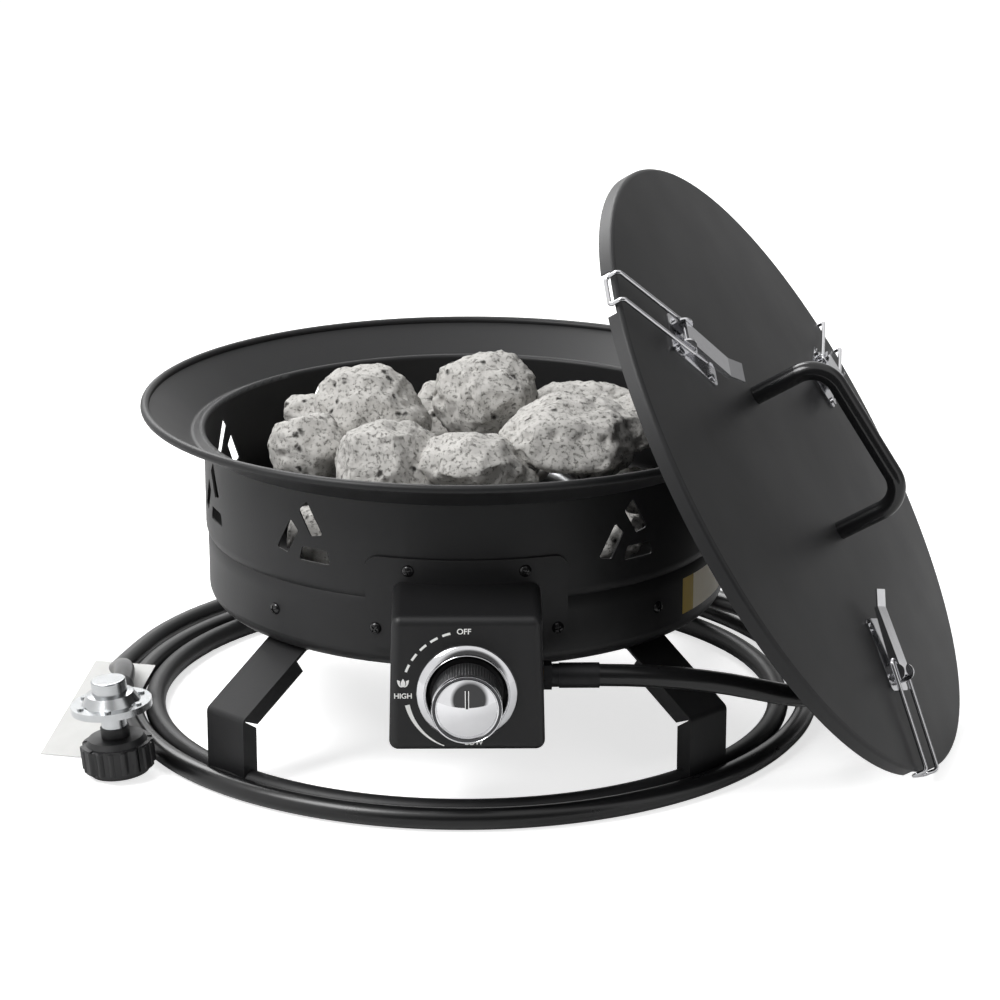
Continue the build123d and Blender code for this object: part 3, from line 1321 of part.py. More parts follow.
# Latches, one at each notch
for number, latch_plane in enumerate(latch_planes, start=1):
    base_shape = base_solid(latch_plane)
    lever_shape = lever_solid(latch_plane)
    bail_shape = bail_solid(latch_plane)
    with BuildPart() as latch_base:
        add(base_shape)
    latch_base.part.label = f"latch_base_{number}"
    export_step(latch_base.part, f"parts/latch_base_{number}.step")
    with BuildPart() as latch_lever:
        add(lever_shape)
    latch_lever.part.label = f"latch_lever_{number}"
    export_step(latch_lever.part, f"parts/latch_lever_{number}.step")
    with BuildPart() as latch_bail:
        add(bail_shape)
    latch_bail.part.label = f"latch_bail_{number}"
    export_step(latch_bail.part, f"parts/latch_bail_{number}.step")

# Pivot pins of the three latches
pin_half = LEVER_HALF + SLIP + EAR_SHEET
with BuildPart() as latch_pins:
    for plane in latch_planes:
        pin_place = plane.from_local_coords(Vector(PIVOT_OUT, 0, PIVOT_HEIGHT))
        with BuildSketch(Plane(origin=pin_place, x_dir=plane.x_dir, z_dir=plane.y_dir)):
            Circle(PIVOT_PIN)
        extrude(amount=pin_half, both=True)
latch_pins.part.label = "latch_pins"
export_step(latch_pins.part, "parts/latch_pins.step")

# Rivets of the three latches
with BuildPart() as latch_rivets:
    for plane in latch_planes:
        with BuildSketch(moved(plane, 0, 0, BASE_SHEET)):
            with Locations(*rivet_places):
                Circle(RIVET_RADIUS)
        extrude(amount=RIVET_HEAD)
        with BuildSketch(moved(plane, 0, 0, BASE_SHEET)):
            with Locations(*rivet_places):
                Circle(RIVET_SHANK)
        extrude(amount=-BASE_SHEET - LID_SHEET - RIVET_HEAD)
latch_rivets.part.label = "latch_rivets"
export_step(latch_rivets.part, "parts/latch_rivets.step")

# Lava rocks: bumpy balls of flat faces, each let down until it rests on what is under it
golden = (1 + sqrt(5)) / 2
ball_points = [Vector(0, s, t * golden).normalized() for s in (-1, 1) for t in (-1, 1)]
ball_points += [Vector(s, t * golden, 0).normalized() for s in (-1, 1) for t in (-1, 1)]
ball_points += [Vector(t * golden, 0, s).normalized() for s in (-1, 1) for t in (-1, 1)]
side = min((ball_points[0] - other).length for other in ball_points[1:])


def near(first, second):
    """True where two points of the ball share an edge."""
    return abs((ball_points[first] - ball_points[second]).length - side) < side / 10


ball_faces = []
for a in range(12):
    for b in range(a):
        for c in range(b):
            if near(a, b) and near(b, c) and near(a, c):
                turn = (ball_points[b] - ball_points[a]).cross(ball_points[c] - ball_points[a])
                ball_faces.append((a, b, c) if turn.dot(ball_points[a]) > 0 else (a, c, b))
middles = {}
rock_faces = []
for a, b, c in ball_faces:
    for first, second in ((a, b), (b, c), (c, a)):
        key = (min(first, second), max(first, second))
        if key not in middles:
            middles[key] = len(ball_points)
            ball_points.append((ball_points[first] + ball_points[second]).normalized())
    ab, bc, ca = [middles[(min(p, q), max(p, q))] for p, q in ((a, b), (b, c), (c, a))]
    rock_faces += [(a, ab, ca), (b, bc, ab), (c, ca, bc), (ab, bc, ca)]
rock_edges = sorted({(min(p, q), max(p, q)) for f in rock_faces for p, q in zip(f, f[1:] + f[:1])})


def rock_points(shares, number):
    """Corners of one rock about its own centre, from its shares of the wall's radius."""
    turn = radians(77 * number)
    points = []
    for ball in ball_points:
        wave = sin(4 * ball.X + 1.7 * number) + sin(4 * ball.Y + 2.3 * number)
        wave += sin(4 * ball.Z + 0.9 * number)
        swell = WALL_RADIUS * (1 + ROCK_BUMP_SHARE * wave / 3)
        x, y, z = ball.X * shares[2] * swell, ball.Y * shares[3] * swell, ball.Z * shares[4] * swell
        points.append((x * cos(turn) - y * sin(turn), x * sin(turn) + y * cos(turn), z))
    return [(x + shares[0] * WALL_RADIUS, y + shares[1] * WALL_RADIUS, z) for x, y, z in points]


def face_height(face, x, y):
    """Height of a face over a place in plan, or None outside it."""
    (x0, y0, z0), (x1, y1, z1), (x2, y2, z2) = face
    size = (y1 - y2) * (x0 - x2) + (x2 - x1) * (y0 - y2)
    if size == 0:
        return None
    u = ((y1 - y2) * (x - x2) + (x2 - x1) * (y - y2)) / size
    v = ((y2 - y0) * (x - x2) + (x0 - x2) * (y - y2)) / size
    if u < 0 or v < 0 or u + v > 1:
        return None
    return u * z0 + v * z1 + (1 - u - v) * z2


def edge_gap(upper, lower):
    """Upright gap where two edges cross in plan, or None."""
    (ax, ay, az), (bx, by, bz) = upper
    (cx, cy, cz), (dx, dy, dz) = lower
    size = (bx - ax) * (dy - cy) - (by - ay) * (dx - cx)
    if size == 0:
        return None
    s = ((cx - ax) * (dy - cy) - (cy - ay) * (dx - cx)) / size
    t = ((cx - ax) * (by - ay) - (cy - ay) * (bx - ax)) / size
    if s < 0 or s > 1 or t < 0 or t > 1:
        return None
    return az + s * (bz - az) - cz - t * (dz - cz)


def in_reach(first, second):
    """True where two sets of corners overlap in plan."""
    return all(
        min(p[k] for p in first) < max(p[k] for p in second)
        and min(p[k] for p in second) < max(p[k] for p in first)
        for k in (0, 1)
    )


def rest_gap(rock, below, faces, edges):
    """Least upright gap from a rock down to a shape of corners, faces and edges."""
    gaps = []
    upper_faces = [[rock[k] for k in face] for face in rock_faces]
    lower_faces = [[below[k] for k in face] for face in faces]
    for x, y, z in rock:
        gaps += [z - h for h in (face_height(face, x, y) for face in lower_faces) if h is not None]
    for x, y, z in below:
        gaps += [h - z for h in (face_height(face, x, y) for face in upper_faces) if h is not None]
    for a, b in rock_edges:
        for c, d in edges:
            gap = edge_gap((rock[a], rock[b]), (below[c], below[d]))
            if gap is not None:
                gaps.append(gap)
    return min(gaps, default=rock[0][2] + RIM_HEIGHT)


# The burner as the rocks meet it: flats just outside its ring and the upper half of its bar
burner_steps = 24
tube_steps = 12
tube_reach = BURNER_TUBE / cos(pi / tube_steps) / cos(pi / burner_steps) + SLIP
burner_points = []
for n in range(burner_steps):
    for m in range(tube_steps):
        radius = BURNER_RADIUS + tube_reach * cos(2 * pi * m / tube_steps)
        height = BURNER_HEIGHT + tube_reach * sin(2 * pi * m / tube_steps)
        burner_points.append(tuple(around(360 * n / burner_steps, radius, height)))
burner_faces = []
for n in range(burner_steps):
    for m in range(tube_steps):
        here = n * tube_steps + m
        beside = n * tube_steps + (m + 1) % tube_steps
        ahead = ((n + 1) % burner_steps) * tube_steps + m
        over = ((n + 1) % burner_steps) * tube_steps + (m + 1) % tube_steps
        burner_faces += [(here, beside, over), (here, over, ahead)]
bar_reach = BAR_TUBE / cos(pi / tube_steps) + SLIP
bar_steps = tube_steps // 2
bar_points = []
for end in (-BURNER_RADIUS, BURNER_RADIUS):
    for m in range(bar_steps + 1):
        turn = pi * m / bar_steps
        bar_points.append((end, bar_reach * cos(turn), BURNER_HEIGHT + bar_reach * sin(turn)))
bar_faces = []
for m in range(bar_steps):
    bar_faces += [(m, m + 1, m + bar_steps + 2), (m, m + bar_steps + 2, m + bar_steps + 1)]


def edges_of(faces):
    """Edges of a set of three-cornered faces."""
    return sorted({(min(p, q), max(p, q)) for f in faces for p, q in zip(f, f[1:] + f[:1])})


supports = [
    (burner_points, burner_faces, edges_of(burner_faces)),
    (bar_points, bar_faces, edges_of(bar_faces)),
]


def settle(shares, number):
    """Let one rock down on to the floor, the burner or the rocks before it."""
    rock = [(x, y, z + 2 * RIM_HEIGHT) for x, y, z in rock_points(shares, number)]
    fall = min(z for x, y, z in rock) - BOWL_FLOOR
    for below, faces, edges in supports:
        if in_reach(rock, below):
            fall = min(fall, rest_gap(rock, below, faces, edges))
    rock = [(x, y, z - fall + SLIP) for x, y, z in rock]
    supports.append((rock, rock_faces, rock_edges))
    return Solid(Shell([Face(Wire.make_polygon([rock[k] for k in face])) for face in rock_faces]))


lower_rocks = [settle(shares, number) for number, shares in enumerate(LOWER_ROCK_SHARES)]
with BuildPart() as lava_rocks_lower:
    add(lower_rocks)
lava_rocks_lower.part.label = "lava_rocks_lower"
export_step(lava_rocks_lower.part, "parts/lava_rocks_lower.step")

upper_rocks = [settle(shares, number) for number, shares in enumerate(UPPER_ROCK_SHARES, start=20)]
with BuildPart() as lava_rocks_upper:
    add(upper_rocks)
lava_rocks_upper.part.label = "lava_rocks_upper"
export_step(lava_rocks_upper.part, "parts/lava_rocks_upper.step")
print("rock tops", [round(rock.bounding_box().max.Z, 1) for rock in upper_rocks])
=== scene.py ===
"""Looks of a propane fire pit.

Powder-coated bowl and lid, chrome fittings, rubber hose and lava rock.
"""
from math import asin, atan2, cos, degrees, hypot, pi, radians, sin, sqrt
from random import Random

import bpy
from bpy.props import FloatProperty, FloatVectorProperty, IntProperty, PointerProperty
from bpy.types import Operator, Panel, PropertyGroup
from mathutils import Matrix, Vector


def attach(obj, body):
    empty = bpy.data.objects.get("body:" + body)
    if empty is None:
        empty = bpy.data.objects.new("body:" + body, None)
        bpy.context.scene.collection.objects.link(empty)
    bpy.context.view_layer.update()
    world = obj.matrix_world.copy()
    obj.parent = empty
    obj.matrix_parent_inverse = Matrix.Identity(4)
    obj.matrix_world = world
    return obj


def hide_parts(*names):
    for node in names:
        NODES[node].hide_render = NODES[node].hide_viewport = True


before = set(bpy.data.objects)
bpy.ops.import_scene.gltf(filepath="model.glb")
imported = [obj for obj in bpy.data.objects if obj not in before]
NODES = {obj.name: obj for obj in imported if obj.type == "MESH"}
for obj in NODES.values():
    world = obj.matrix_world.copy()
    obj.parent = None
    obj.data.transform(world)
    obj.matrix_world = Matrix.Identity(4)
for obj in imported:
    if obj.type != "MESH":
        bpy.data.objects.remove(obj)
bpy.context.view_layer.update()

bl_info = {
    "name": "Propane fire pit",
    "version": (1, 0, 0),
    "blender": (4, 5, 0),
    "location": "View3D > Sidebar > Fire pit",
    "description": "Finishes and small pieces of a propane fire pit",
    "category": "Object",
}

# One millimetre, and the distance within which points are welded, in metres
MM = 0.001
WELD = 0.01 * MM

# Camera fitted to the rim and the ring: place in metres, tilt and pan in degrees, lens and sensor in mm
CAMERA_PLACE = (0, -2.4063, 0.896)
CAMERA_TILT = 73.01
CAMERA_PAN = -0.602
CAMERA_LENS = 120.57
CAMERA_SENSOR = 36

# Lamps: place and side in metres, power in watts, and whether polished pieces mirror them
LAMPS = (
    ("key_lamp", (-1.4, -0.9, 2.1), 1.2, 50, True),
    ("fill_lamp", (1.6, -1.9, 1.0), 1.2, 13, False),
    ("back_lamp", (-0.8, 1.8, 1.9), 1.4, 36, True),
)
LAMP_AIM = (0, 0, 0.15)

# Sockets of a colour mix, its two colours and its result, and of a value mix, its two values
MIX_A = 6
MIX_B = 7
MIX_RESULT = 2
VALUE_A = 2
VALUE_B = 3

# Finishes: detail of the colour drift and of the fine relief, and the relief's height by its size.
# Grain of metal, nylon, paper and ink is really finer, and is drawn coarser so that it shows
DRIFT_DETAIL = 4.0
RELIEF_DETAIL = 2.0
RELIEF_SHARE = 4

# Lava stone: size of the bends that make the holes uneven and of the pores, and spacing of the holes,
# in mm
STONE_BEND = 7
STONE_PORE = 3.0
STONE_PORE_DETAIL = 5.0
STONE_PORE_ROUGH = 0.75
STONE_HOLE = 15
STONE_RELIEF = 0.7

# Hose: the corners of its free stretches and the arcs of its coil, in mm, angles from the front
HOSE_FIRST = (
    (91.83, -222.0, 101.5),
    (152.83, -222.0, 101.5),
    (250.0, -183.0, 66.0),
    (254.29, -82.62, 46.0),
    (255.69, 78.17, 36.0),
    (164.61, 210.69, 24.0),
    (13.99, 267.01, 7.8),
)
COIL_ARCS = (
    (0.0, 0.0, 255.0, 194.5, 405.0),
    (-16.26, 16.26, 278.0, 45.0, 135.0),
    (-5.66, 26.87, 263.0, 135.0, 255.0),
)
COIL_HEIGHT = 7.8
COIL_STEP = 9.0
HOSE_LAST = ((-276.52, 32.15, 7.8), (-254.27, -30.4, 43.75), (-254.27, -83.4, 43.75))
HOSE_SIDES = 6
HOSE_STEPS = 6

# Marks on the control box, about the knob's axis, in mm, angles to the left of straight up:
# each word's angle, radius and size, then the row of dashes, and the taper's two angles, radius,
# two widths and steps
KNOB_HEIGHT = 99.0
FACE = -250.0
MARK_PROUD = 0.15
WORD_SWELL = 0.10
WORDS = (("OFF", 2.5, 44.3, 5.6), ("HIGH", 93.0, 43.9, 5.2), ("LOW", 187.3, 36.6, 5.4))
DASH_COUNT = 5
DASH_FIRST = 18.3
DASH_LAST = 66.2
DASH_HALF = 3.7
DASH_RADIUS = 44.5
DASH_WIDTH = 1.7
DASH_STEPS = 6
TAPER = (102, 158, 41.8, 3.3, 0.6, 18)

# Flame mark: where its petals meet, and each petal's half width, drop, round top and points
FLAME_TURN = 84.0
FLAME_RADIUS = 44.0
PETAL_WIDTH = 1.6
PETAL_DROP = 1.75
PETAL_ROUND = 0.9
PETAL_POINTS = 24
PETAL_LEAN = 40

# Pointer on the cap: distance of its lines from the middle, half widths, start and half length
POINTER_SIDE = 1.1
POINTER_HALF = 0.8
LINE_HALF = 0.3
POINTER_START = 1.5
POINTER_REACH = 6.3
POINTER_STEPS = 6

# Pieces turned about the knob's axis, each outline by radius and distance from the box's face, in mm,
# and the steps of a turn and the angle that is shaded smooth
TURN_STEPS = 96
TURN_SMOOTH = 45
BEZEL_OUTLINE = (
    (25.6, 0.0), (35.0, 0.0), (35.0, 1.4), (34.0, 2.4), (32.5, 3.5), (31.0, 4.35), (29.7, 5.0),
    (29.3, 4.4), (28.9, 4.4), (28.7, 4.9), (28.35, 5.1), (28.0, 4.9), (27.6, 3.6), (25.6, 1.6),
)

# Cap: its front at the dome's foot, the dome's radius in plan, height and rings, and the radius of the
# further curve in its mirror, in mm
CAP_FRONT = 33.3
CAP_FLAT = 20.9
CAP_RISE = 2.7
CAP_RINGS = 8
CAP_POLISH = 53.0
CAP_EDGE = (
    (21.2, 33.6), (21.5, 33.9), (21.8, 33.6), (22.0, 33.0), (23.4, 33.0), (23.6, 33.7), (23.95, 34.1),
    (24.3, 33.7), (24.3, 32.2), (23.6, 32.2), (23.6, 31.5), (24.3, 31.5), (24.3, 30.5), (0.0, 30.5),
)

# Dark metal ring in the cap's groove, painted shade that stands in for the dark the groove mirrors, and
# the ribs round the knob
GROOVE_OUTLINE = ((21.95, 32.7), (23.45, 32.7), (23.45, 33.08), (21.95, 33.08))
RIB_OUTLINE = ((22.8, 6.0), (23.5, 6.5), (23.5, 29.9), (22.8, 30.3))
RIB_HEIGHT = 0.6
RIB_STEPS = 8

# Ribs round the hand nut, about the leaning regulator's axis by radius and height above its foot, in mm
NUT_FOOT = (-250.3, -147.4, 2.444)
NUT_LEAN = 5.5
NUT_OUTLINE = ((22.0, 4.6), (24.1, 5.2), (24.1, 21.8), (22.0, 22.4))
NUT_RIBS = 18
NUT_RIB_HEIGHT = 2.6
NUT_RIB_STEPS = 12

# Upper edge of the pan, turned about the bowl's axis by radius and height, in mm
PAN_EDGE = ((192.0, 133.5), (193.5, 133.5), (193.5, 144.4), (193.0, 145.0), (192.0, 145.0))
PAN_EDGE_STEPS = 192

# Side plate: middle and half of its turn in degrees, radius, middle and half of its height, and the
# edge of its ochre band along x, in mm
SIDE_TURN = 66
SIDE_HALF_TURN = 12.3
SIDE_RADIUS = 193.6
SIDE_MIDDLE = 122.5
SIDE_HALF = 13.5
SIDE_BAND = 164.5
SIDE_STEPS = 16
SIDE_ROWS = 6

# Screws: head sizes, and the angle, radius, height and spin of those on the box's plate and round
# the pan
HEAD_RADIUS = 4.4
HEAD_HEIGHT = 2.6
HEAD_SEGMENTS = 32
HEAD_RINGS = 16
HEAD_SMOOTH = 35
CROSS_LENGTH = 5.0
CROSS_WIDTH = 1.1
CROSS_DEPTH = 1.5
PLATE_FACE = 196.85
PAN_FACE = 193.45
UPPER_TURN = degrees(asin(41.0 / PLATE_FACE))
LOWER_TURN = degrees(asin(64.0 / PLATE_FACE))
BOX_SCREWS = (
    (-UPPER_TURN, PLATE_FACE, 168.0, 20),
    (UPPER_TURN, PLATE_FACE, 168.0, 65),
    (-LOWER_TURN, PLATE_FACE, 124.0, 50),
    (LOWER_TURN, PLATE_FACE, 124.0, 10),
)
PAN_SCREWS = tuple((turn, PAN_FACE, 122.0, turn / 3) for turn in (45, 135, 225, 315))

# Rocks: random start, mesh grid in mm, how far lumps, grain and pits move the surface, in metres,
# where a pit's rim is by its spacing, and the grain's share of a lump and its detail
ROCK_SEED = 5
ROCK_GRID = 2.2
LUMP_PUSH = 0.012
GRAIN_PUSH = 0.005
PIT_PUSH = 0.005
PIT_EDGE = 0.3
GRAIN_SHARE = 5
GRAIN_DEPTH = 3

# Broken faces on each rock: how many, their upward tilt, the share of the reach that is left inside
# them, and how flat they are
ROCK_CHIPS = 7
CHIP_LIFT = (-0.3, 1.0)
CHIP_KEEP = (0.72, 0.90)
CHIP_FLAT = 0.88

# Rocks of the heap's top that lie wider and lower: place in plan, factors on its spread and its height,
# and how far it comes down, in mm, for rocks this near the place and above this height
ROCK_NEAR = 8.0
ROCK_UPPER = 200.0
ROCK_SETTLES = (
    ((133.0, 23.5), 1.30, 0.90, 30.0),
    ((-113.4, 77.9), 1.10, 0.45, 14.0),
    ((-10.5, 101.7), 1.15, 0.66, 0.0),
    ((96.9, 74.1), 1.15, 0.72, 0.0),
    ((83.1, -35.7), 1.36, 0.86, 12.0),
    ((9.6, -70.6), 1.42, 0.85, 8.0),
    ((-116.8, -15.9), 1.40, 1.10, 0.0),
    ((-69.9, 25.6), 1.10, 0.98, 0.0),
    ((-58.2, -67.1), 1.25, 0.95, 0.0),
    ((14.1, 41.3), 1.12, 0.96, 0.0),
)

# Light that the pale floor adds for the camera alone, so that it reads white and keeps the shadow
FLOOR_GLOW = 0.7

# Floor in metres: its side, where it ends in front of the object, and its height just under the feet
FLOOR_SIDE = 12.0
FLOOR_FRONT = -0.75
FLOOR_TOP = -0.0006
FLOOR_ROUGH = 0.9

# Room: light it gives to dull surfaces, and the darker walls that glossy ones mirror,
# each by its direction, where it begins and is full by cosine, and the light left there
ROOM_FILL = 0.34
DARK_WALLS = (
    ((0.10, -0.99, 0.10), 0.70, 0.80, 0.08),
    ((0.88, 0.40, 0.25), 0.66, 0.92, 0.28),
)


def linear(code):
    """Linear colour of an sRGB hex value."""
    parts = [int(code[i:i + 2], 16) / 255 for i in (1, 3, 5)]
    curve = [c / 12.92 if c <= 0.04045 else ((c + 0.055) / 1.055) ** 2.4 for c in parts]
    return (*curve, 1.0)


def per_mm(size):
    """Texture scale that gives one repeat in a size in mm."""
    return 1 / (size * MM)


def put(tree, kind, settings=None, links=None):
    """Add one node with its settings and links."""
    node = tree.nodes.new(kind)
    for key, value in (settings or {}).items():
        if isinstance(key, int) or key in node.inputs:
            node.inputs[key].default_value = value
        else:
            setattr(node, key, value)
    for key, source in (links or {}).items():
        tree.links.new(source, node.inputs[key])
    return node


def finish_of(name, light, dark, grain, rough, bump, depth, **sockets):
    """Material with a colour that drifts from light to dark, uneven gloss and a fine relief."""
    material = bpy.data.materials.new(name)
    material.use_nodes = True
    tree = material.node_tree
    shader = tree.nodes["Principled BSDF"]
    place = put(tree, "ShaderNodeTexCoord").outputs["Object"]
    drift = put(
        tree,
        "ShaderNodeTexNoise",
        {"Scale": per_mm(grain), "Detail": DRIFT_DETAIL},
        {"Vector": place},
    )
    tint = put(
        tree,
        "ShaderNodeMix",
        {"data_type": "RGBA", MIX_A: linear(light), MIX_B: linear(dark)},
        {0: drift.outputs[0]},
    )
    gloss = put(
        tree,
        "ShaderNodeMapRange",
        {"To Min": rough[0], "To Max": rough[1]},
        {"Value": drift.outputs[0]},
    )
    fine = put(
        tree,
        "ShaderNodeTexNoise",
        {"Scale": per_mm(bump), "Detail": RELIEF_DETAIL},
        {"Vector": place},
    )
    relief = put(
        tree,
        "ShaderNodeBump",
        {"Strength": depth, "Distance": bump * MM / RELIEF_SHARE},
        {"Height": fine.outputs[0]},
    )
    tree.links.new(tint.outputs[MIX_RESULT], shader.inputs["Base Color"])
    tree.links.new(gloss.outputs[0], shader.inputs["Roughness"])
    tree.links.new(relief.outputs[0], shader.inputs["Normal"])
    for key, value in sockets.items():
        shader.inputs[key.replace("_", " ")].default_value = value
    return material


def made(name):
    """Material of a name, if it has been made before."""
    return bpy.data.materials.get(name)


def powder_coat():
    """Baked powder coat: satin black, a slight orange peel that softens highlights."""
    name = "powder_coat_black"
    return made(name) or finish_of(
        name, "#202021", "#19191a", 60, (0.40, 0.50), 1.6, 0.12, Specular_IOR_Level=0.34
    )


def gloss_paint():
    """Gloss paint on tube: near black with clear reflections."""
    name = "gloss_paint_black"
    return made(name) or finish_of(name, "#161617", "#101011", 40, (0.14, 0.22), 3.0, 0.05)


def blackened_steel():
    """Blackened steel: dark, dull, slightly uneven."""
    return finish_of("blackened_steel", "#262628", "#1b1b1c", 5, (0.38, 0.55), 0.8, 0.10, Metallic=0.6)


def chrome_plate():
    """Nickel-chrome plate over stamped steel: bright, with faint polishing haze."""
    name = "chrome_plate"
    return made(name) or finish_of(
        name, "#dcdcde", "#cfcfd2", 8, (0.07, 0.16), 1.2, 0.03, Metallic=1.0
    )


def polished_cap():
    """Polished chrome of the domed cap: bright below where it mirrors the floor, dark above."""
    material = finish_of(
        "polished_chrome", "#e6e6e8", "#dcdcde", 8, (0.03, 0.06), 1.2, 0.0, Metallic=1.0
    )
    tree = material.node_tree
    place = put(tree, "ShaderNodeTexCoord").outputs["Object"]
    flat = put(
        tree,
        "ShaderNodeVectorMath",
        {"operation": "MULTIPLY_ADD", 1: (1.0, 0.0, 1.0), 2: (0.0, 0.0, -KNOB_HEIGHT * MM)},
        {0: place},
    )
    reach = put(
        tree,
        "ShaderNodeVectorMath",
        {"operation": "DOT_PRODUCT"},
        {0: flat.outputs[0], 1: flat.outputs[0]},
    )
    fall = put(
        tree,
        "ShaderNodeMath",
        {"operation": "MULTIPLY", 1: -1 / (2 * CAP_POLISH * MM)},
        {0: reach.outputs["Value"]},
    )
    relief = put(
        tree,
        "ShaderNodeBump",
        {"Strength": 1.0, "Distance": 1.0},
        {"Height": fall.outputs[0]},
    )
    tree.links.new(relief.outputs[0], tree.nodes["Principled BSDF"].inputs["Normal"])
    return material


def moulded_nylon():
    """Moulded black nylon: even dull black."""
    name = "moulded_nylon_black"
    return made(name) or finish_of(name, "#1d1d1e", "#151516", 10, (0.42, 0.55), 0.9, 0.10)


def turned_brass():
    """Turned brass: warm yellow metal with tool haze."""
    return finish_of("turned_brass", "#c9a664", "#b48f4c", 6, (0.24, 0.36), 0.8, 0.06, Metallic=1.0)


def plain_steel():
    """Mill-finish steel: grey and slightly stained."""
    return finish_of("plain_steel", "#a2a3a4", "#8a8b8c", 9, (0.30, 0.46), 0.9, 0.08, Metallic=1.0)


def hose_rubber():
    """Extruded rubber cover: black with a soft shine along the tube."""
    return finish_of("hose_rubber_black", "#131314", "#0c0c0d", 25, (0.24, 0.34), 2.0, 0.06)


def die_cast_zinc():
    """Die-cast zinc: silver grey with a fine cast skin."""
    return finish_of("die_cast_zinc", "#c6c8c9", "#b4b6b8", 7, (0.18, 0.28), 0.7, 0.10, Metallic=1.0)


def tag_paper():
    """Coated paper: white, faintly fibrous."""
    return finish_of("tag_paper_white", "#d6d6d4", "#cbcbc9", 12, (0.55, 0.65), 0.6, 0.05)


def mark_paint():
    """Screen-printed ink: flat white with slightly uneven cover."""
    return finish_of("mark_paint_white", "#f2f2f0", "#e4e4e2", 3, (0.50, 0.60), 0.5, 0.04)


def groove_painted_shade():
    """Painted shade in the cap's groove: a dark metal ring between two bright lines, standing in for
    the dark the groove mirrors.
    """
    return finish_of("groove_painted_shade", "#59595b", "#454547", 6, (0.20, 0.30), 1.0, 0.04, Metallic=1.0)


def lava_stone():
    """Broken lava rock: pale grey, matt, pricked with small ragged pores and a few deep holes, with
    shade painted darker into the pores and holes over their bump relief.
    """
    material = finish_of("lava_stone_grey", "#dddbd7", "#aeaca8", 16, (0.85, 0.95), 1.8, 0.5)
    tree = material.node_tree
    shader = tree.nodes["Principled BSDF"]
    place = put(tree, "ShaderNodeTexCoord").outputs["Object"]
    bend = put(tree, "ShaderNodeTexNoise", {"Scale": per_mm(STONE_BEND)}, {"Vector": place})
    drift = put(
        tree,
        "ShaderNodeVectorMath",
        {"operation": "SCALE", "Scale": STONE_BEND * MM},
        {0: bend.outputs["Color"]},
    )
    spot = put(tree, "ShaderNodeVectorMath", {"operation": "ADD"}, {0: place, 1: drift.outputs[0]})
    ragged = put(
        tree,
        "ShaderNodeTexNoise",
        {"Scale": per_mm(STONE_PORE), "Detail": STONE_PORE_DETAIL, "Roughness": STONE_PORE_ROUGH},
        {"Vector": place},
    )
    holes = put(
        tree, "ShaderNodeTexVoronoi", {"Scale": per_mm(STONE_HOLE)}, {"Vector": spot.outputs[0]}
    )
    # Pattern, its values at the bottom and the rim, depth in mm and the shade painted into the bottom
    # of each pore
    pores = (
        (ragged.outputs[0], 0.34, 0.47, 0.9, "#7b7974"),
        (holes.outputs["Distance"], 0.07, 0.20, 3.0, "#3b3a37"),
    )
    for source, low, high, depth, shade in pores:
        rim = put(
            tree, "ShaderNodeMapRange", {"From Min": low, "From Max": high}, {"Value": source}
        )
        skin = shader.inputs["Base Color"].links[0].from_socket
        painted_pore_shade = put(
            tree,
            "ShaderNodeMix",
            {"data_type": "RGBA", MIX_A: linear(shade)},
            {0: rim.outputs[0], MIX_B: skin},
        )
        relief = put(
            tree,
            "ShaderNodeBump",
            {"Strength": STONE_RELIEF, "Distance": depth * MM},
            {"Height": rim.outputs[0], "Normal": shader.inputs["Normal"].links[0].from_socket},
        )
        tree.links.new(painted_pore_shade.outputs[MIX_RESULT], shader.inputs["Base Color"])
        tree.links.new(relief.outputs[0], shader.inputs["Normal"])
    return material


def two_tone_vinyl():
    """Printed vinyl: cream with an ochre band along its front edge."""
    material = finish_of("two_tone_vinyl", "#f4ead0", "#ece0c0", 10, (0.40, 0.50), 0.8, 0.04)
    tree = material.node_tree
    shader = tree.nodes["Principled BSDF"]
    place = put(tree, "ShaderNodeTexCoord").outputs["Object"]
    parts = put(tree, "ShaderNodeSeparateXYZ", None, {0: place})
    band = put(
        tree,
        "ShaderNodeMath",
        {"operation": "LESS_THAN", 1: SIDE_BAND * MM},
        {0: parts.outputs[0]},
    )
    cream = shader.inputs["Base Color"].links[0].from_socket
    tone = put(
        tree,
        "ShaderNodeMix",
        {"data_type": "RGBA", MIX_B: linear("#c2a545")},
        {0: band.outputs[0], MIX_A: cream},
    )
    tree.links.new(tone.outputs[MIX_RESULT], shader.inputs["Base Color"])
    return material


def deselect():
    """Leave nothing selected."""
    bpy.ops.object.select_all(action="DESELECT")


def coat(material, *names):
    """Give CAD nodes one material."""
    for name in names:
        mesh = NODES[name].data
        mesh.materials.clear()
        mesh.materials.append(material)


def settle_piece(piece, name, material, body):
    """Name a finished piece, apply its place, give it its material and the body it moves with."""
    piece.name = name
    deselect()
    piece.select_set(True)
    bpy.context.view_layer.objects.active = piece
    bpy.ops.object.transform_apply(location=True, rotation=True, scale=True)
    piece.data.materials.clear()
    piece.data.materials.append(material)
    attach(piece, body)
    return piece


def face_point(turn, radius, proud=MARK_PROUD):
    """Point on the box's face by the angle left of straight up about the knob, in metres."""
    a = radians(turn)
    return Vector((-radius * sin(a), FACE - proud, KNOB_HEIGHT + radius * cos(a))) * MM


def pit_point(turn, radius, height):
    """Point about the bowl's axis by the angle from the front, in metres."""
    a = radians(turn)
    return Vector((radius * sin(a), -radius * cos(a), height)) * MM


def nut_point(turn, radius, height):
    """Point about the leaning regulator's axis, in metres."""
    a = radians(turn)
    lean = Matrix.Rotation(radians(-NUT_LEAN), 3, "Y")
    return (Vector(NUT_FOOT) + lean @ Vector((radius * cos(a), radius * sin(a), height))) * MM


def cap_front(radius):
    """Distance of the cap's domed front from the box's face, in mm."""
    return CAP_FRONT + CAP_RISE * (1 - (radius / CAP_FLAT) ** 2)


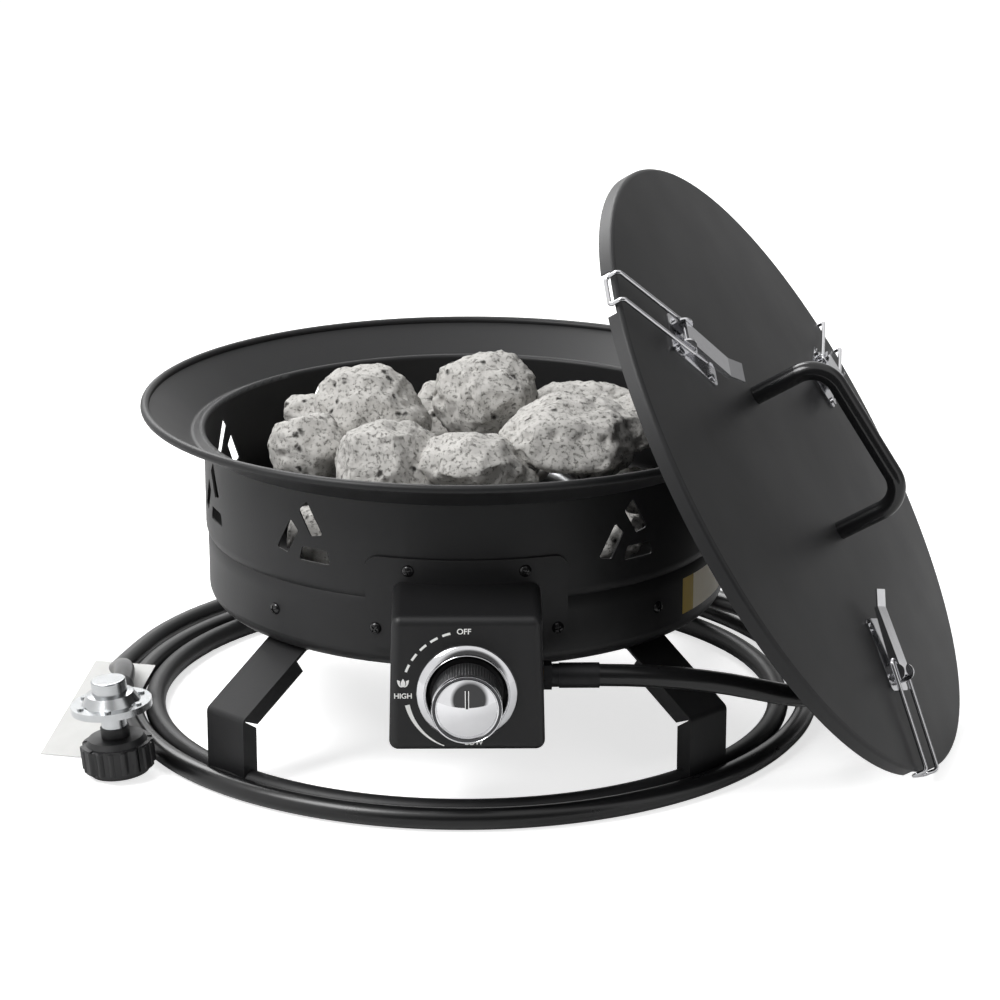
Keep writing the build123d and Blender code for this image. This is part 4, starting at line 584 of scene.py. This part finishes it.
def turned(outline, steps, place=face_point, closed=True, ribs=0, rib_height=0.0):
    """Piece turned about an axis from an outline, with ribs on its widest part."""
    deselect()
    rows = len(outline) if closed else len(outline) - 1
    bpy.ops.mesh.primitive_grid_add(x_subdivisions=steps, y_subdivisions=rows, size=2)
    piece = bpy.context.object
    widest = max(radius for radius, _ in outline)
    for vertex in piece.data.vertices:
        turn = (vertex.co.x + 1) * 180
        radius, along = outline[round((vertex.co.y + 1) / 2 * rows) % len(outline)]
        if radius == widest:
            radius += rib_height * (1 + sin(ribs * radians(turn))) / 2
        vertex.co = place(turn, radius, along)
    bpy.ops.object.mode_set(mode="EDIT")
    bpy.ops.mesh.select_all(action="SELECT")
    bpy.ops.mesh.remove_doubles(threshold=WELD)
    bpy.ops.mesh.normals_make_consistent(inside=False)
    bpy.ops.object.mode_set(mode="OBJECT")
    bpy.ops.object.shade_smooth_by_angle(angle=radians(TURN_SMOOTH))
    return piece


def arc_mark(begin, end, radius, wide_begin, wide_end, steps):
    """Flat band bent round the knob, from one width to another."""
    deselect()
    bpy.ops.mesh.primitive_grid_add(x_subdivisions=steps, y_subdivisions=1, size=2)
    band = bpy.context.object
    for vertex in band.data.vertices:
        share = (vertex.co.x + 1) / 2
        width = wide_begin + (wide_end - wide_begin) * share
        vertex.co = face_point(begin + (end - begin) * share, radius + vertex.co.y * width / 2)
    return band


def word_mark(text, turn, radius, size):
    """One word on the box's face as a flat mesh."""
    deselect()
    bpy.ops.object.text_add(location=face_point(turn, radius), rotation=(pi / 2, 0, 0))
    word = bpy.context.object
    word.data.body = text
    word.data.size = size * MM
    word.data.offset = WORD_SWELL * MM
    word.data.align_x = "CENTER"
    word.data.align_y = "CENTER"
    bpy.ops.object.convert(target="MESH")
    return bpy.context.object


def rock_middle(rock):
    """Mean place of a rock's points."""
    return sum((vertex.co for vertex in rock.data.vertices), Vector()) / len(rock.data.vertices)


def settle_rock(rock):
    """Spread a rock of the heap's top, press it about its underside and let it down."""
    middle = rock_middle(rock)
    near = min(ROCK_SETTLES, key=lambda spot: (Vector(spot[0]) * MM - middle.xy).length)
    if (Vector(near[0]) * MM - middle.xy).length > ROCK_NEAR * MM or middle.z < ROCK_UPPER * MM:
        return
    spread, flat, drop = near[1:]
    base = min(vertex.co.z for vertex in rock.data.vertices)
    for vertex in rock.data.vertices:
        vertex.co.xy = middle.xy + (vertex.co.xy - middle.xy) * spread
        vertex.co.z = base + (vertex.co.z - base) * flat - drop * MM


def chip_rock(rock, dice):
    """Flatten a rock's upper sides along random planes, as broken stone has."""
    points = rock.data.vertices
    middle = rock_middle(rock)
    for _ in range(ROCK_CHIPS):
        turn = dice.uniform(0, 2 * pi)
        lift = dice.uniform(*CHIP_LIFT)
        out = Vector((cos(turn), sin(turn), 0)) * sqrt(1 - lift * lift) + Vector((0, 0, lift))
        reach = max(out.dot(point.co - middle) for point in points)
        keep = reach * dice.uniform(*CHIP_KEEP)
        for point in points:
            over = out.dot(point.co - middle) - keep
            if over > 0:
                point.co -= out * over * CHIP_FLAT


class FirePitSettings(PropertyGroup):
    """Sizes and colours that a user may change."""

    hose_diameter: FloatProperty(
        name="Hose diameter",
        description="Outer diameter of the gas hose",
        default=0.0156,
        unit="LENGTH",
    )
    knob_ribs: IntProperty(
        name="Knob ribs",
        description="Fine ribs round the knob's side",
        default=72,
    )
    rock_lumps: FloatProperty(
        name="Rock lumps",
        description="Size of the lumps on the lava rocks",
        default=0.042,
        unit="LENGTH",
    )
    rock_pits: FloatProperty(
        name="Rock pits",
        description="Spacing of the large pits in the lava rocks",
        default=0.018,
        unit="LENGTH",
    )
    floor_colour: FloatVectorProperty(
        name="Floor",
        description="Colour of the pale floor",
        subtype="COLOR",
        default=(0.86, 0.86, 0.86),
    )


class FIREPIT_OT_stage(Operator):
    """Add the camera, the lamps, the pale floor and the background"""

    bl_idname = "fire_pit.stage"
    bl_label = "Stage"

    def execute(self, context):
        scene = context.scene
        scene.view_settings.view_transform = "Standard"
        deselect()
        bpy.ops.object.camera_add(
            location=CAMERA_PLACE, rotation=(radians(CAMERA_TILT), 0, radians(CAMERA_PAN))
        )
        camera = context.object
        camera.data.lens = CAMERA_LENS
        camera.data.sensor_width = CAMERA_SENSOR
        scene.camera = camera
        for name, place, size, power, mirrored in LAMPS:
            bpy.ops.object.light_add(type="AREA", location=place)
            lamp = context.object
            lamp.name = name
            lamp.data.size = size
            lamp.data.energy = power
            lamp.visible_glossy = mirrored
            aim = Vector(LAMP_AIM) - Vector(place)
            lamp.rotation_euler = aim.to_track_quat("-Z", "Y").to_euler()
        world = bpy.data.worlds.new("pale_room")
        world.use_nodes = True
        scene.world = world
        tree = world.node_tree
        rays = put(tree, "ShaderNodeLightPath").outputs
        seen = rays["Is Camera Ray"]
        for ray in ("Is Glossy Ray", "Is Transmission Ray"):
            both = put(tree, "ShaderNodeMath", {"operation": "MAXIMUM"}, {0: seen, 1: rays[ray]})
            seen = both.outputs[0]
        room = put(
            tree, "ShaderNodeMapRange", {"To Min": ROOM_FILL, "To Max": 1.0}, {"Value": seen}
        )
        level = room.outputs[0]
        direction = put(tree, "ShaderNodeTexCoord").outputs["Generated"]
        for aim, begin, end, left in DARK_WALLS:
            facing = put(
                tree,
                "ShaderNodeVectorMath",
                {"operation": "DOT_PRODUCT", 1: aim},
                {0: direction},
            )
            wall = put(
                tree,
                "ShaderNodeMapRange",
                {"From Min": begin, "From Max": end, "To Min": 1.0, "To Max": left},
                {"Value": facing.outputs["Value"]},
            )
            dim = put(
                tree,
                "ShaderNodeMix",
                {VALUE_A: 1.0},
                {0: rays["Is Glossy Ray"], VALUE_B: wall.outputs[0]},
            )
            rest = put(
                tree, "ShaderNodeMath", {"operation": "MULTIPLY"}, {0: level, 1: dim.outputs[0]}
            )
            level = rest.outputs[0]
        sky = tree.nodes["Background"]
        sky.inputs["Color"].default_value = (1, 1, 1, 1)
        tree.links.new(level, sky.inputs["Strength"])
        deselect()
        bpy.ops.mesh.primitive_plane_add(
            size=FLOOR_SIDE, location=(0, FLOOR_SIDE / 2 + FLOOR_FRONT, FLOOR_TOP)
        )
        floor = context.object
        floor.name = "pale_floor"
        paper = bpy.data.materials.new("floor_paper")
        paper.use_nodes = True
        shader = paper.node_tree.nodes["Principled BSDF"]
        shader.inputs["Base Color"].default_value = (*scene.fire_pit.floor_colour, 1)
        shader.inputs["Roughness"].default_value = FLOOR_ROUGH
        shader.inputs["Emission Color"].default_value = (1, 1, 1, 1)
        seen = put(paper.node_tree, "ShaderNodeLightPath").outputs["Is Camera Ray"]
        glow = put(
            paper.node_tree,
            "ShaderNodeMath",
            {"operation": "MULTIPLY", 1: FLOOR_GLOW},
            {0: seen},
        )
        paper.node_tree.links.new(glow.outputs[0], shader.inputs["Emission Strength"])
        floor.data.materials.append(paper)
        return {"FINISHED"}


class FIREPIT_OT_hose(Operator):
    """Lay the gas hose from the control box round the base to the regulator"""

    bl_idname = "fire_pit.hose"
    bl_label = "Gas hose"

    def execute(self, context):
        points = [Vector(p) for p in HOSE_FIRST]
        for arc in COIL_ARCS:
            x, y, radius, begin, end = arc
            steps = round((end - begin) / COIL_STEP)
            for step in range(steps + 1 if arc is COIL_ARCS[-1] else steps):
                a = radians(begin + (end - begin) * step / steps)
                points.append(Vector((x + radius * sin(a), y - radius * cos(a), COIL_HEIGHT)))
        points += [Vector(p) for p in HOSE_LAST]
        line = bpy.data.curves.new("gas_hose_run", "CURVE")
        line.dimensions = "3D"
        line.bevel_depth = context.scene.fire_pit.hose_diameter / 2
        line.bevel_resolution = HOSE_SIDES
        line.use_fill_caps = True
        spline = line.splines.new("NURBS")
        spline.points.add(len(points) - 1)
        for spot, place in zip(spline.points, points):
            spot.co = (*(place * MM), 1)
        spline.order_u = 3
        spline.use_endpoint_u = True
        spline.resolution_u = HOSE_STEPS
        hose = bpy.data.objects.new("gas_hose_run", line)
        context.scene.collection.objects.link(hose)
        line.materials.append(hose_rubber())
        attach(hose, "fire_pit")
        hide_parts("gas_hose", "hose_coil", "hose_tail")
        ribs = turned(
            NUT_OUTLINE,
            NUT_RIBS * NUT_RIB_STEPS,
            nut_point,
            ribs=NUT_RIBS,
            rib_height=NUT_RIB_HEIGHT,
        )
        settle_piece(ribs, "nut_ribs", moulded_nylon(), "hand_nut")
        return {"FINISHED"}


class FIREPIT_OT_body(Operator):
    """Finish the bowl, pan, base, control box and lid"""

    bl_idname = "fire_pit.body"
    bl_label = "Bowl, base and lid"

    def execute(self, context):
        legs = [name for name in NODES if name.startswith("leg_") and name != "leg_bolts"]
        coat(
            powder_coat(),
            "fire_bowl",
            "base_pan",
            "base_ring",
            "control_box",
            "lid_shell",
            "bowl_straps",
            *legs,
        )
        coat(
            blackened_steel(),
            "pan_screws",
            "box_screws",
            "leg_bolts",
            "handle_bolts",
            "hose_collar",
            "hose_ferrule_box",
            "hose_ferrule_regulator",
        )
        coat(gloss_paint(), "lid_handle")
        edge = turned(PAN_EDGE, PAN_EDGE_STEPS, pit_point)
        settle_piece(edge, "pan_top_edge", powder_coat(), "fire_pit")
        return {"FINISHED"}


class FIREPIT_OT_fittings(Operator):
    """Finish the latches, the valve, the burner and the regulator"""

    bl_idname = "fire_pit.fittings"
    bl_label = "Latches and gas fittings"

    def execute(self, context):
        latches = [name for name in NODES if name.startswith("latch_")]
        coat(chrome_plate(), *latches)
        coat(moulded_nylon(), "knob", "hand_nut", "nut_collar")
        coat(turned_brass(), "valve_body", "valve_plug", "inlet_pipe", "inlet_nipple")
        coat(
            plain_steel(),
            "valve_stem",
            "valve_screws",
            "return_spring",
            "burner_ring",
            "burner_stands",
            "mixer_tube",
        )
        coat(
            die_cast_zinc(),
            "regulator_lower_case",
            "regulator_upper_case",
            "regulator_cap",
            "regulator_screws",
        )
        coat(tag_paper(), "hose_tag")
        return {"FINISHED"}


class FIREPIT_OT_knob(Operator):
    """Turn the bright bezel, the domed cap with its groove and the knob's ribs"""

    bl_idname = "fire_pit.knob"
    bl_label = "Knob and bezel"

    def execute(self, context):
        bezel = turned(BEZEL_OUTLINE, TURN_STEPS)
        settle_piece(bezel, "bezel_turned", chrome_plate(), "fire_pit")
        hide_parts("bezel")
        rings = [CAP_FLAT * ring / CAP_RINGS for ring in range(CAP_RINGS + 1)]
        outline = [(radius, cap_front(radius)) for radius in rings] + list(CAP_EDGE)
        cap = turned(outline, TURN_STEPS, closed=False)
        settle_piece(cap, "knob_cap_domed", polished_cap(), "knob")
        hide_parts("knob_cap")
        # The groove's dark ring is painted shade: dark metal standing in for the dark that the groove
        # mirrors
        groove = turned(GROOVE_OUTLINE, TURN_STEPS)
        settle_piece(groove, "knob_cap_groove", groove_painted_shade(), "knob")
        count = context.scene.fire_pit.knob_ribs
        ribs = turned(RIB_OUTLINE, count * RIB_STEPS, ribs=count, rib_height=RIB_HEIGHT)
        settle_piece(ribs, "knob_ribs", moulded_nylon(), "knob")
        return {"FINISHED"}


class FIREPIT_OT_screws(Operator):
    """Give the screws of the box and the pan domed heads with a cross recess"""

    bl_idname = "fire_pit.screws"
    bl_label = "Screw heads"

    def execute(self, context):
        deselect()
        bpy.ops.mesh.primitive_uv_sphere_add(
            segments=HEAD_SEGMENTS, ring_count=HEAD_RINGS, radius=HEAD_RADIUS * MM
        )
        head = context.object
        bpy.ops.object.mode_set(mode="EDIT")
        bpy.ops.mesh.select_all(action="SELECT")
        bpy.ops.mesh.bisect(
            plane_co=(0, 0, 0), plane_no=(0, 0, 1), use_fill=True, clear_inner=True
        )
        bpy.ops.object.mode_set(mode="OBJECT")
        for vertex in head.data.vertices:
            vertex.co.z *= HEAD_HEIGHT / HEAD_RADIUS
        for long_way in (0, 1):
            deselect()
            bpy.ops.mesh.primitive_cube_add(size=MM, location=(0, 0, HEAD_HEIGHT * MM))
            cutter = context.object
            sides = (CROSS_LENGTH, CROSS_WIDTH) if long_way else (CROSS_WIDTH, CROSS_LENGTH)
            cutter.scale = (*sides, 2 * CROSS_DEPTH)
            cut = head.modifiers.new("cross", "BOOLEAN")
            cut.object = cutter
            cut.operation = "DIFFERENCE"
            context.view_layer.objects.active = head
            bpy.ops.object.modifier_apply(modifier=cut.name)
            bpy.data.objects.remove(cutter)
        gloss = gloss_paint()
        for node, spots in (("box_screws", BOX_SCREWS), ("pan_screws", PAN_SCREWS)):
            heads = []
            for turn, radius, height, spin in spots:
                a = radians(turn)
                copy = bpy.data.objects.new(node + "_head", head.data.copy())
                context.scene.collection.objects.link(copy)
                out = Vector((sin(a), -cos(a), 0))
                axes = Matrix((Vector((cos(a), sin(a), 0)), Vector((0, 0, 1)), out))
                place = axes.transposed().to_4x4()
                place.translation = Vector((radius * out.x, radius * out.y, height)) * MM
                copy.data.transform(place @ Matrix.Rotation(radians(spin), 4, "Z"))
                heads.append(copy)
            deselect()
            for copy in heads:
                copy.select_set(True)
            context.view_layer.objects.active = heads[0]
            bpy.ops.object.join()
            bpy.ops.object.shade_smooth_by_angle(angle=radians(HEAD_SMOOTH))
            settle_piece(heads[0], node + "_domed", gloss, "fire_pit")
            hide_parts(node)
        bpy.data.objects.remove(head)
        return {"FINISHED"}


class FIREPIT_OT_rocks(Operator):
    """Break up the lava rocks with lumps and pits"""

    bl_idname = "fire_pit.rocks"
    bl_label = "Lava rocks"

    def execute(self, context):
        settings = context.scene.fire_pit
        stone = lava_stone()
        dice = Random(ROCK_SEED)
        lumps = bpy.data.textures.new("rock_lumps", "CLOUDS")
        lumps.noise_scale = settings.rock_lumps
        grain = bpy.data.textures.new("rock_grain", "CLOUDS")
        grain.noise_scale = settings.rock_lumps / GRAIN_SHARE
        grain.noise_depth = GRAIN_DEPTH
        pits = bpy.data.textures.new("rock_pits", "VORONOI")
        pits.noise_scale = settings.rock_pits
        pits.use_color_ramp = True
        pits.color_ramp.elements[0].color = (0, 0, 0, 1)
        pits.color_ramp.elements[1].color = (1, 1, 1, 1)
        pits.color_ramp.elements[1].position = PIT_EDGE
        pushes = (
            ("lumps", lumps, LUMP_PUSH, 0.5),
            ("grain", grain, GRAIN_PUSH, 0.5),
            ("pits", pits, PIT_PUSH, 1.0),
        )
        for source in ("lava_rocks_lower", "lava_rocks_upper"):
            heap = bpy.data.objects.new(source + "_broken", NODES[source].data.copy())
            context.scene.collection.objects.link(heap)
            deselect()
            heap.select_set(True)
            context.view_layer.objects.active = heap
            bpy.ops.object.mode_set(mode="EDIT")
            bpy.ops.mesh.select_all(action="SELECT")
            bpy.ops.mesh.remove_doubles(threshold=WELD)
            bpy.ops.mesh.separate(type="LOOSE")
            bpy.ops.object.mode_set(mode="OBJECT")
            rocks = sorted(context.selected_objects, key=lambda rock: tuple(rock_middle(rock)))
            for rock in rocks:
                context.view_layer.objects.active = rock
                even = rock.modifiers.new("even", "REMESH")
                even.mode = "VOXEL"
                even.voxel_size = ROCK_GRID * MM
                bpy.ops.object.modifier_apply(modifier=even.name)
                settle_rock(rock)
                chip_rock(rock, dice)
                for name, texture, strength, middle in pushes:
                    push = rock.modifiers.new(name, "DISPLACE")
                    push.texture = texture
                    push.texture_coords = "LOCAL"
                    push.strength = strength
                    push.mid_level = middle
                    bpy.ops.object.modifier_apply(modifier=push.name)
            deselect()
            for rock in rocks:
                rock.select_set(True)
            context.view_layer.objects.active = rocks[0]
            bpy.ops.object.join()
            bpy.ops.object.shade_smooth()
            settle_piece(rocks[0], source + "_broken", stone, "fire_pit")
            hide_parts(source)
        return {"FINISHED"}


class FIREPIT_OT_marks(Operator):
    """Print the dial marks on the control box and the pointer on the knob"""

    bl_idname = "fire_pit.marks"
    bl_label = "Dial marks"

    def execute(self, context):
        ink = mark_paint()
        for text, turn, radius, size in WORDS:
            word = word_mark(text, turn, radius, size)
            settle_piece(word, "mark_" + text.lower(), ink, "fire_pit")
        for number in range(DASH_COUNT):
            middle = DASH_FIRST + (DASH_LAST - DASH_FIRST) * number / (DASH_COUNT - 1)
            dash = arc_mark(
                middle - DASH_HALF,
                middle + DASH_HALF,
                DASH_RADIUS,
                DASH_WIDTH,
                DASH_WIDTH,
                DASH_STEPS,
            )
            settle_piece(dash, f"mark_dash_{number + 1}", ink, "fire_pit")
        settle_piece(arc_mark(*TAPER), "mark_taper", ink, "fire_pit")
        # Lean in degrees, swell, layer from the face and paint
        petals = (
            ("mark_flame_left", PETAL_LEAN, 1.45, 1, ink),
            ("mark_flame_right", -PETAL_LEAN, 1.45, 1, ink),
            ("mark_flame_gap", 0, 1.75, 2, powder_coat()),
            ("mark_flame_heart", 0, 1.35, 3, ink),
        )
        for name, lean, swell, layer, paint in petals:
            deselect()
            bpy.ops.mesh.primitive_circle_add(vertices=PETAL_POINTS, radius=1, fill_type="NGON")
            petal = context.object
            foot = face_point(FLAME_TURN, FLAME_RADIUS, layer * MARK_PROUD)
            spin = Matrix.Rotation(radians(lean), 2)
            for vertex in petal.data.vertices:
                a = atan2(vertex.co.x, -vertex.co.y)
                across = PETAL_WIDTH * sin(a) * cos(a / 2)
                high = PETAL_DROP + PETAL_ROUND * sin(abs(a) / 2) ** 2 - PETAL_DROP * cos(a)
                flat = spin @ Vector((across, high)) * swell * MM
                vertex.co = foot + Vector((flat.x, 0, flat.y))
            settle_piece(petal, name, paint, "fire_pit")
        strips = (
            ("knob_pointer", 0, POINTER_HALF, moulded_nylon()),
            ("knob_line_left", -1, LINE_HALF, ink),
            ("knob_line_right", 1, LINE_HALF, ink),
        )
        for name, side, half, paint in strips:
            deselect()
            bpy.ops.mesh.primitive_grid_add(
                x_subdivisions=1, y_subdivisions=POINTER_STEPS, size=2
            )
            strip = context.object
            for vertex in strip.data.vertices:
                across = POINTER_SIDE * side + half * vertex.co.x
                high = POINTER_START + POINTER_REACH * (vertex.co.y + 1)
                out = cap_front(hypot(across, high)) + MARK_PROUD
                vertex.co = Vector((across, FACE - out, KNOB_HEIGHT + high)) * MM
            settle_piece(strip, name, paint, "knob")
        return {"FINISHED"}


class FIREPIT_OT_plate(Operator):
    """Wrap the two-tone plate round the side of the pan"""

    bl_idname = "fire_pit.plate"
    bl_label = "Side plate"

    def execute(self, context):
        deselect()
        bpy.ops.mesh.primitive_grid_add(
            x_subdivisions=SIDE_STEPS, y_subdivisions=SIDE_ROWS, size=2
        )
        plate = context.object
        for vertex in plate.data.vertices:
            turn = SIDE_TURN + SIDE_HALF_TURN * vertex.co.x
            vertex.co = pit_point(turn, SIDE_RADIUS, SIDE_MIDDLE + SIDE_HALF * vertex.co.y)
        settle_piece(plate, "side_plate", two_tone_vinyl(), "fire_pit")
        return {"FINISHED"}


class FIREPIT_PT_panel(Panel):
    """Fire pit pieces in the sidebar"""

    bl_idname = "FIREPIT_PT_panel"
    bl_label = "Fire pit"
    bl_space_type = "VIEW_3D"
    bl_region_type = "UI"
    bl_category = "Fire pit"

    def draw(self, context):
        settings = context.scene.fire_pit
        for name in ("hose_diameter", "knob_ribs", "rock_lumps", "rock_pits", "floor_colour"):
            self.layout.prop(settings, name)
        for operator in OPERATORS:
            self.layout.operator(operator.bl_idname)


OPERATORS = (
    FIREPIT_OT_stage,
    FIREPIT_OT_hose,
    FIREPIT_OT_body,
    FIREPIT_OT_fittings,
    FIREPIT_OT_knob,
    FIREPIT_OT_screws,
    FIREPIT_OT_rocks,
    FIREPIT_OT_marks,
    FIREPIT_OT_plate,
)
CLASSES = (FirePitSettings, *OPERATORS, FIREPIT_PT_panel)


def register():
    """Register the classes and the settings."""
    for item in CLASSES:
        bpy.utils.register_class(item)
    bpy.types.Scene.fire_pit = PointerProperty(type=FirePitSettings)


def unregister():
    """Remove the settings and the classes."""
    del bpy.types.Scene.fire_pit
    for item in reversed(CLASSES):
        bpy.utils.unregister_class(item)


def main():
    """Build every piece in order."""
    register()
    bpy.ops.fire_pit.stage()
    bpy.ops.fire_pit.hose()
    bpy.ops.fire_pit.body()
    bpy.ops.fire_pit.fittings()
    bpy.ops.fire_pit.knob()
    bpy.ops.fire_pit.screws()
    bpy.ops.fire_pit.rocks()
    bpy.ops.fire_pit.marks()
    bpy.ops.fire_pit.plate()


if __name__ == "__main__":
    main()
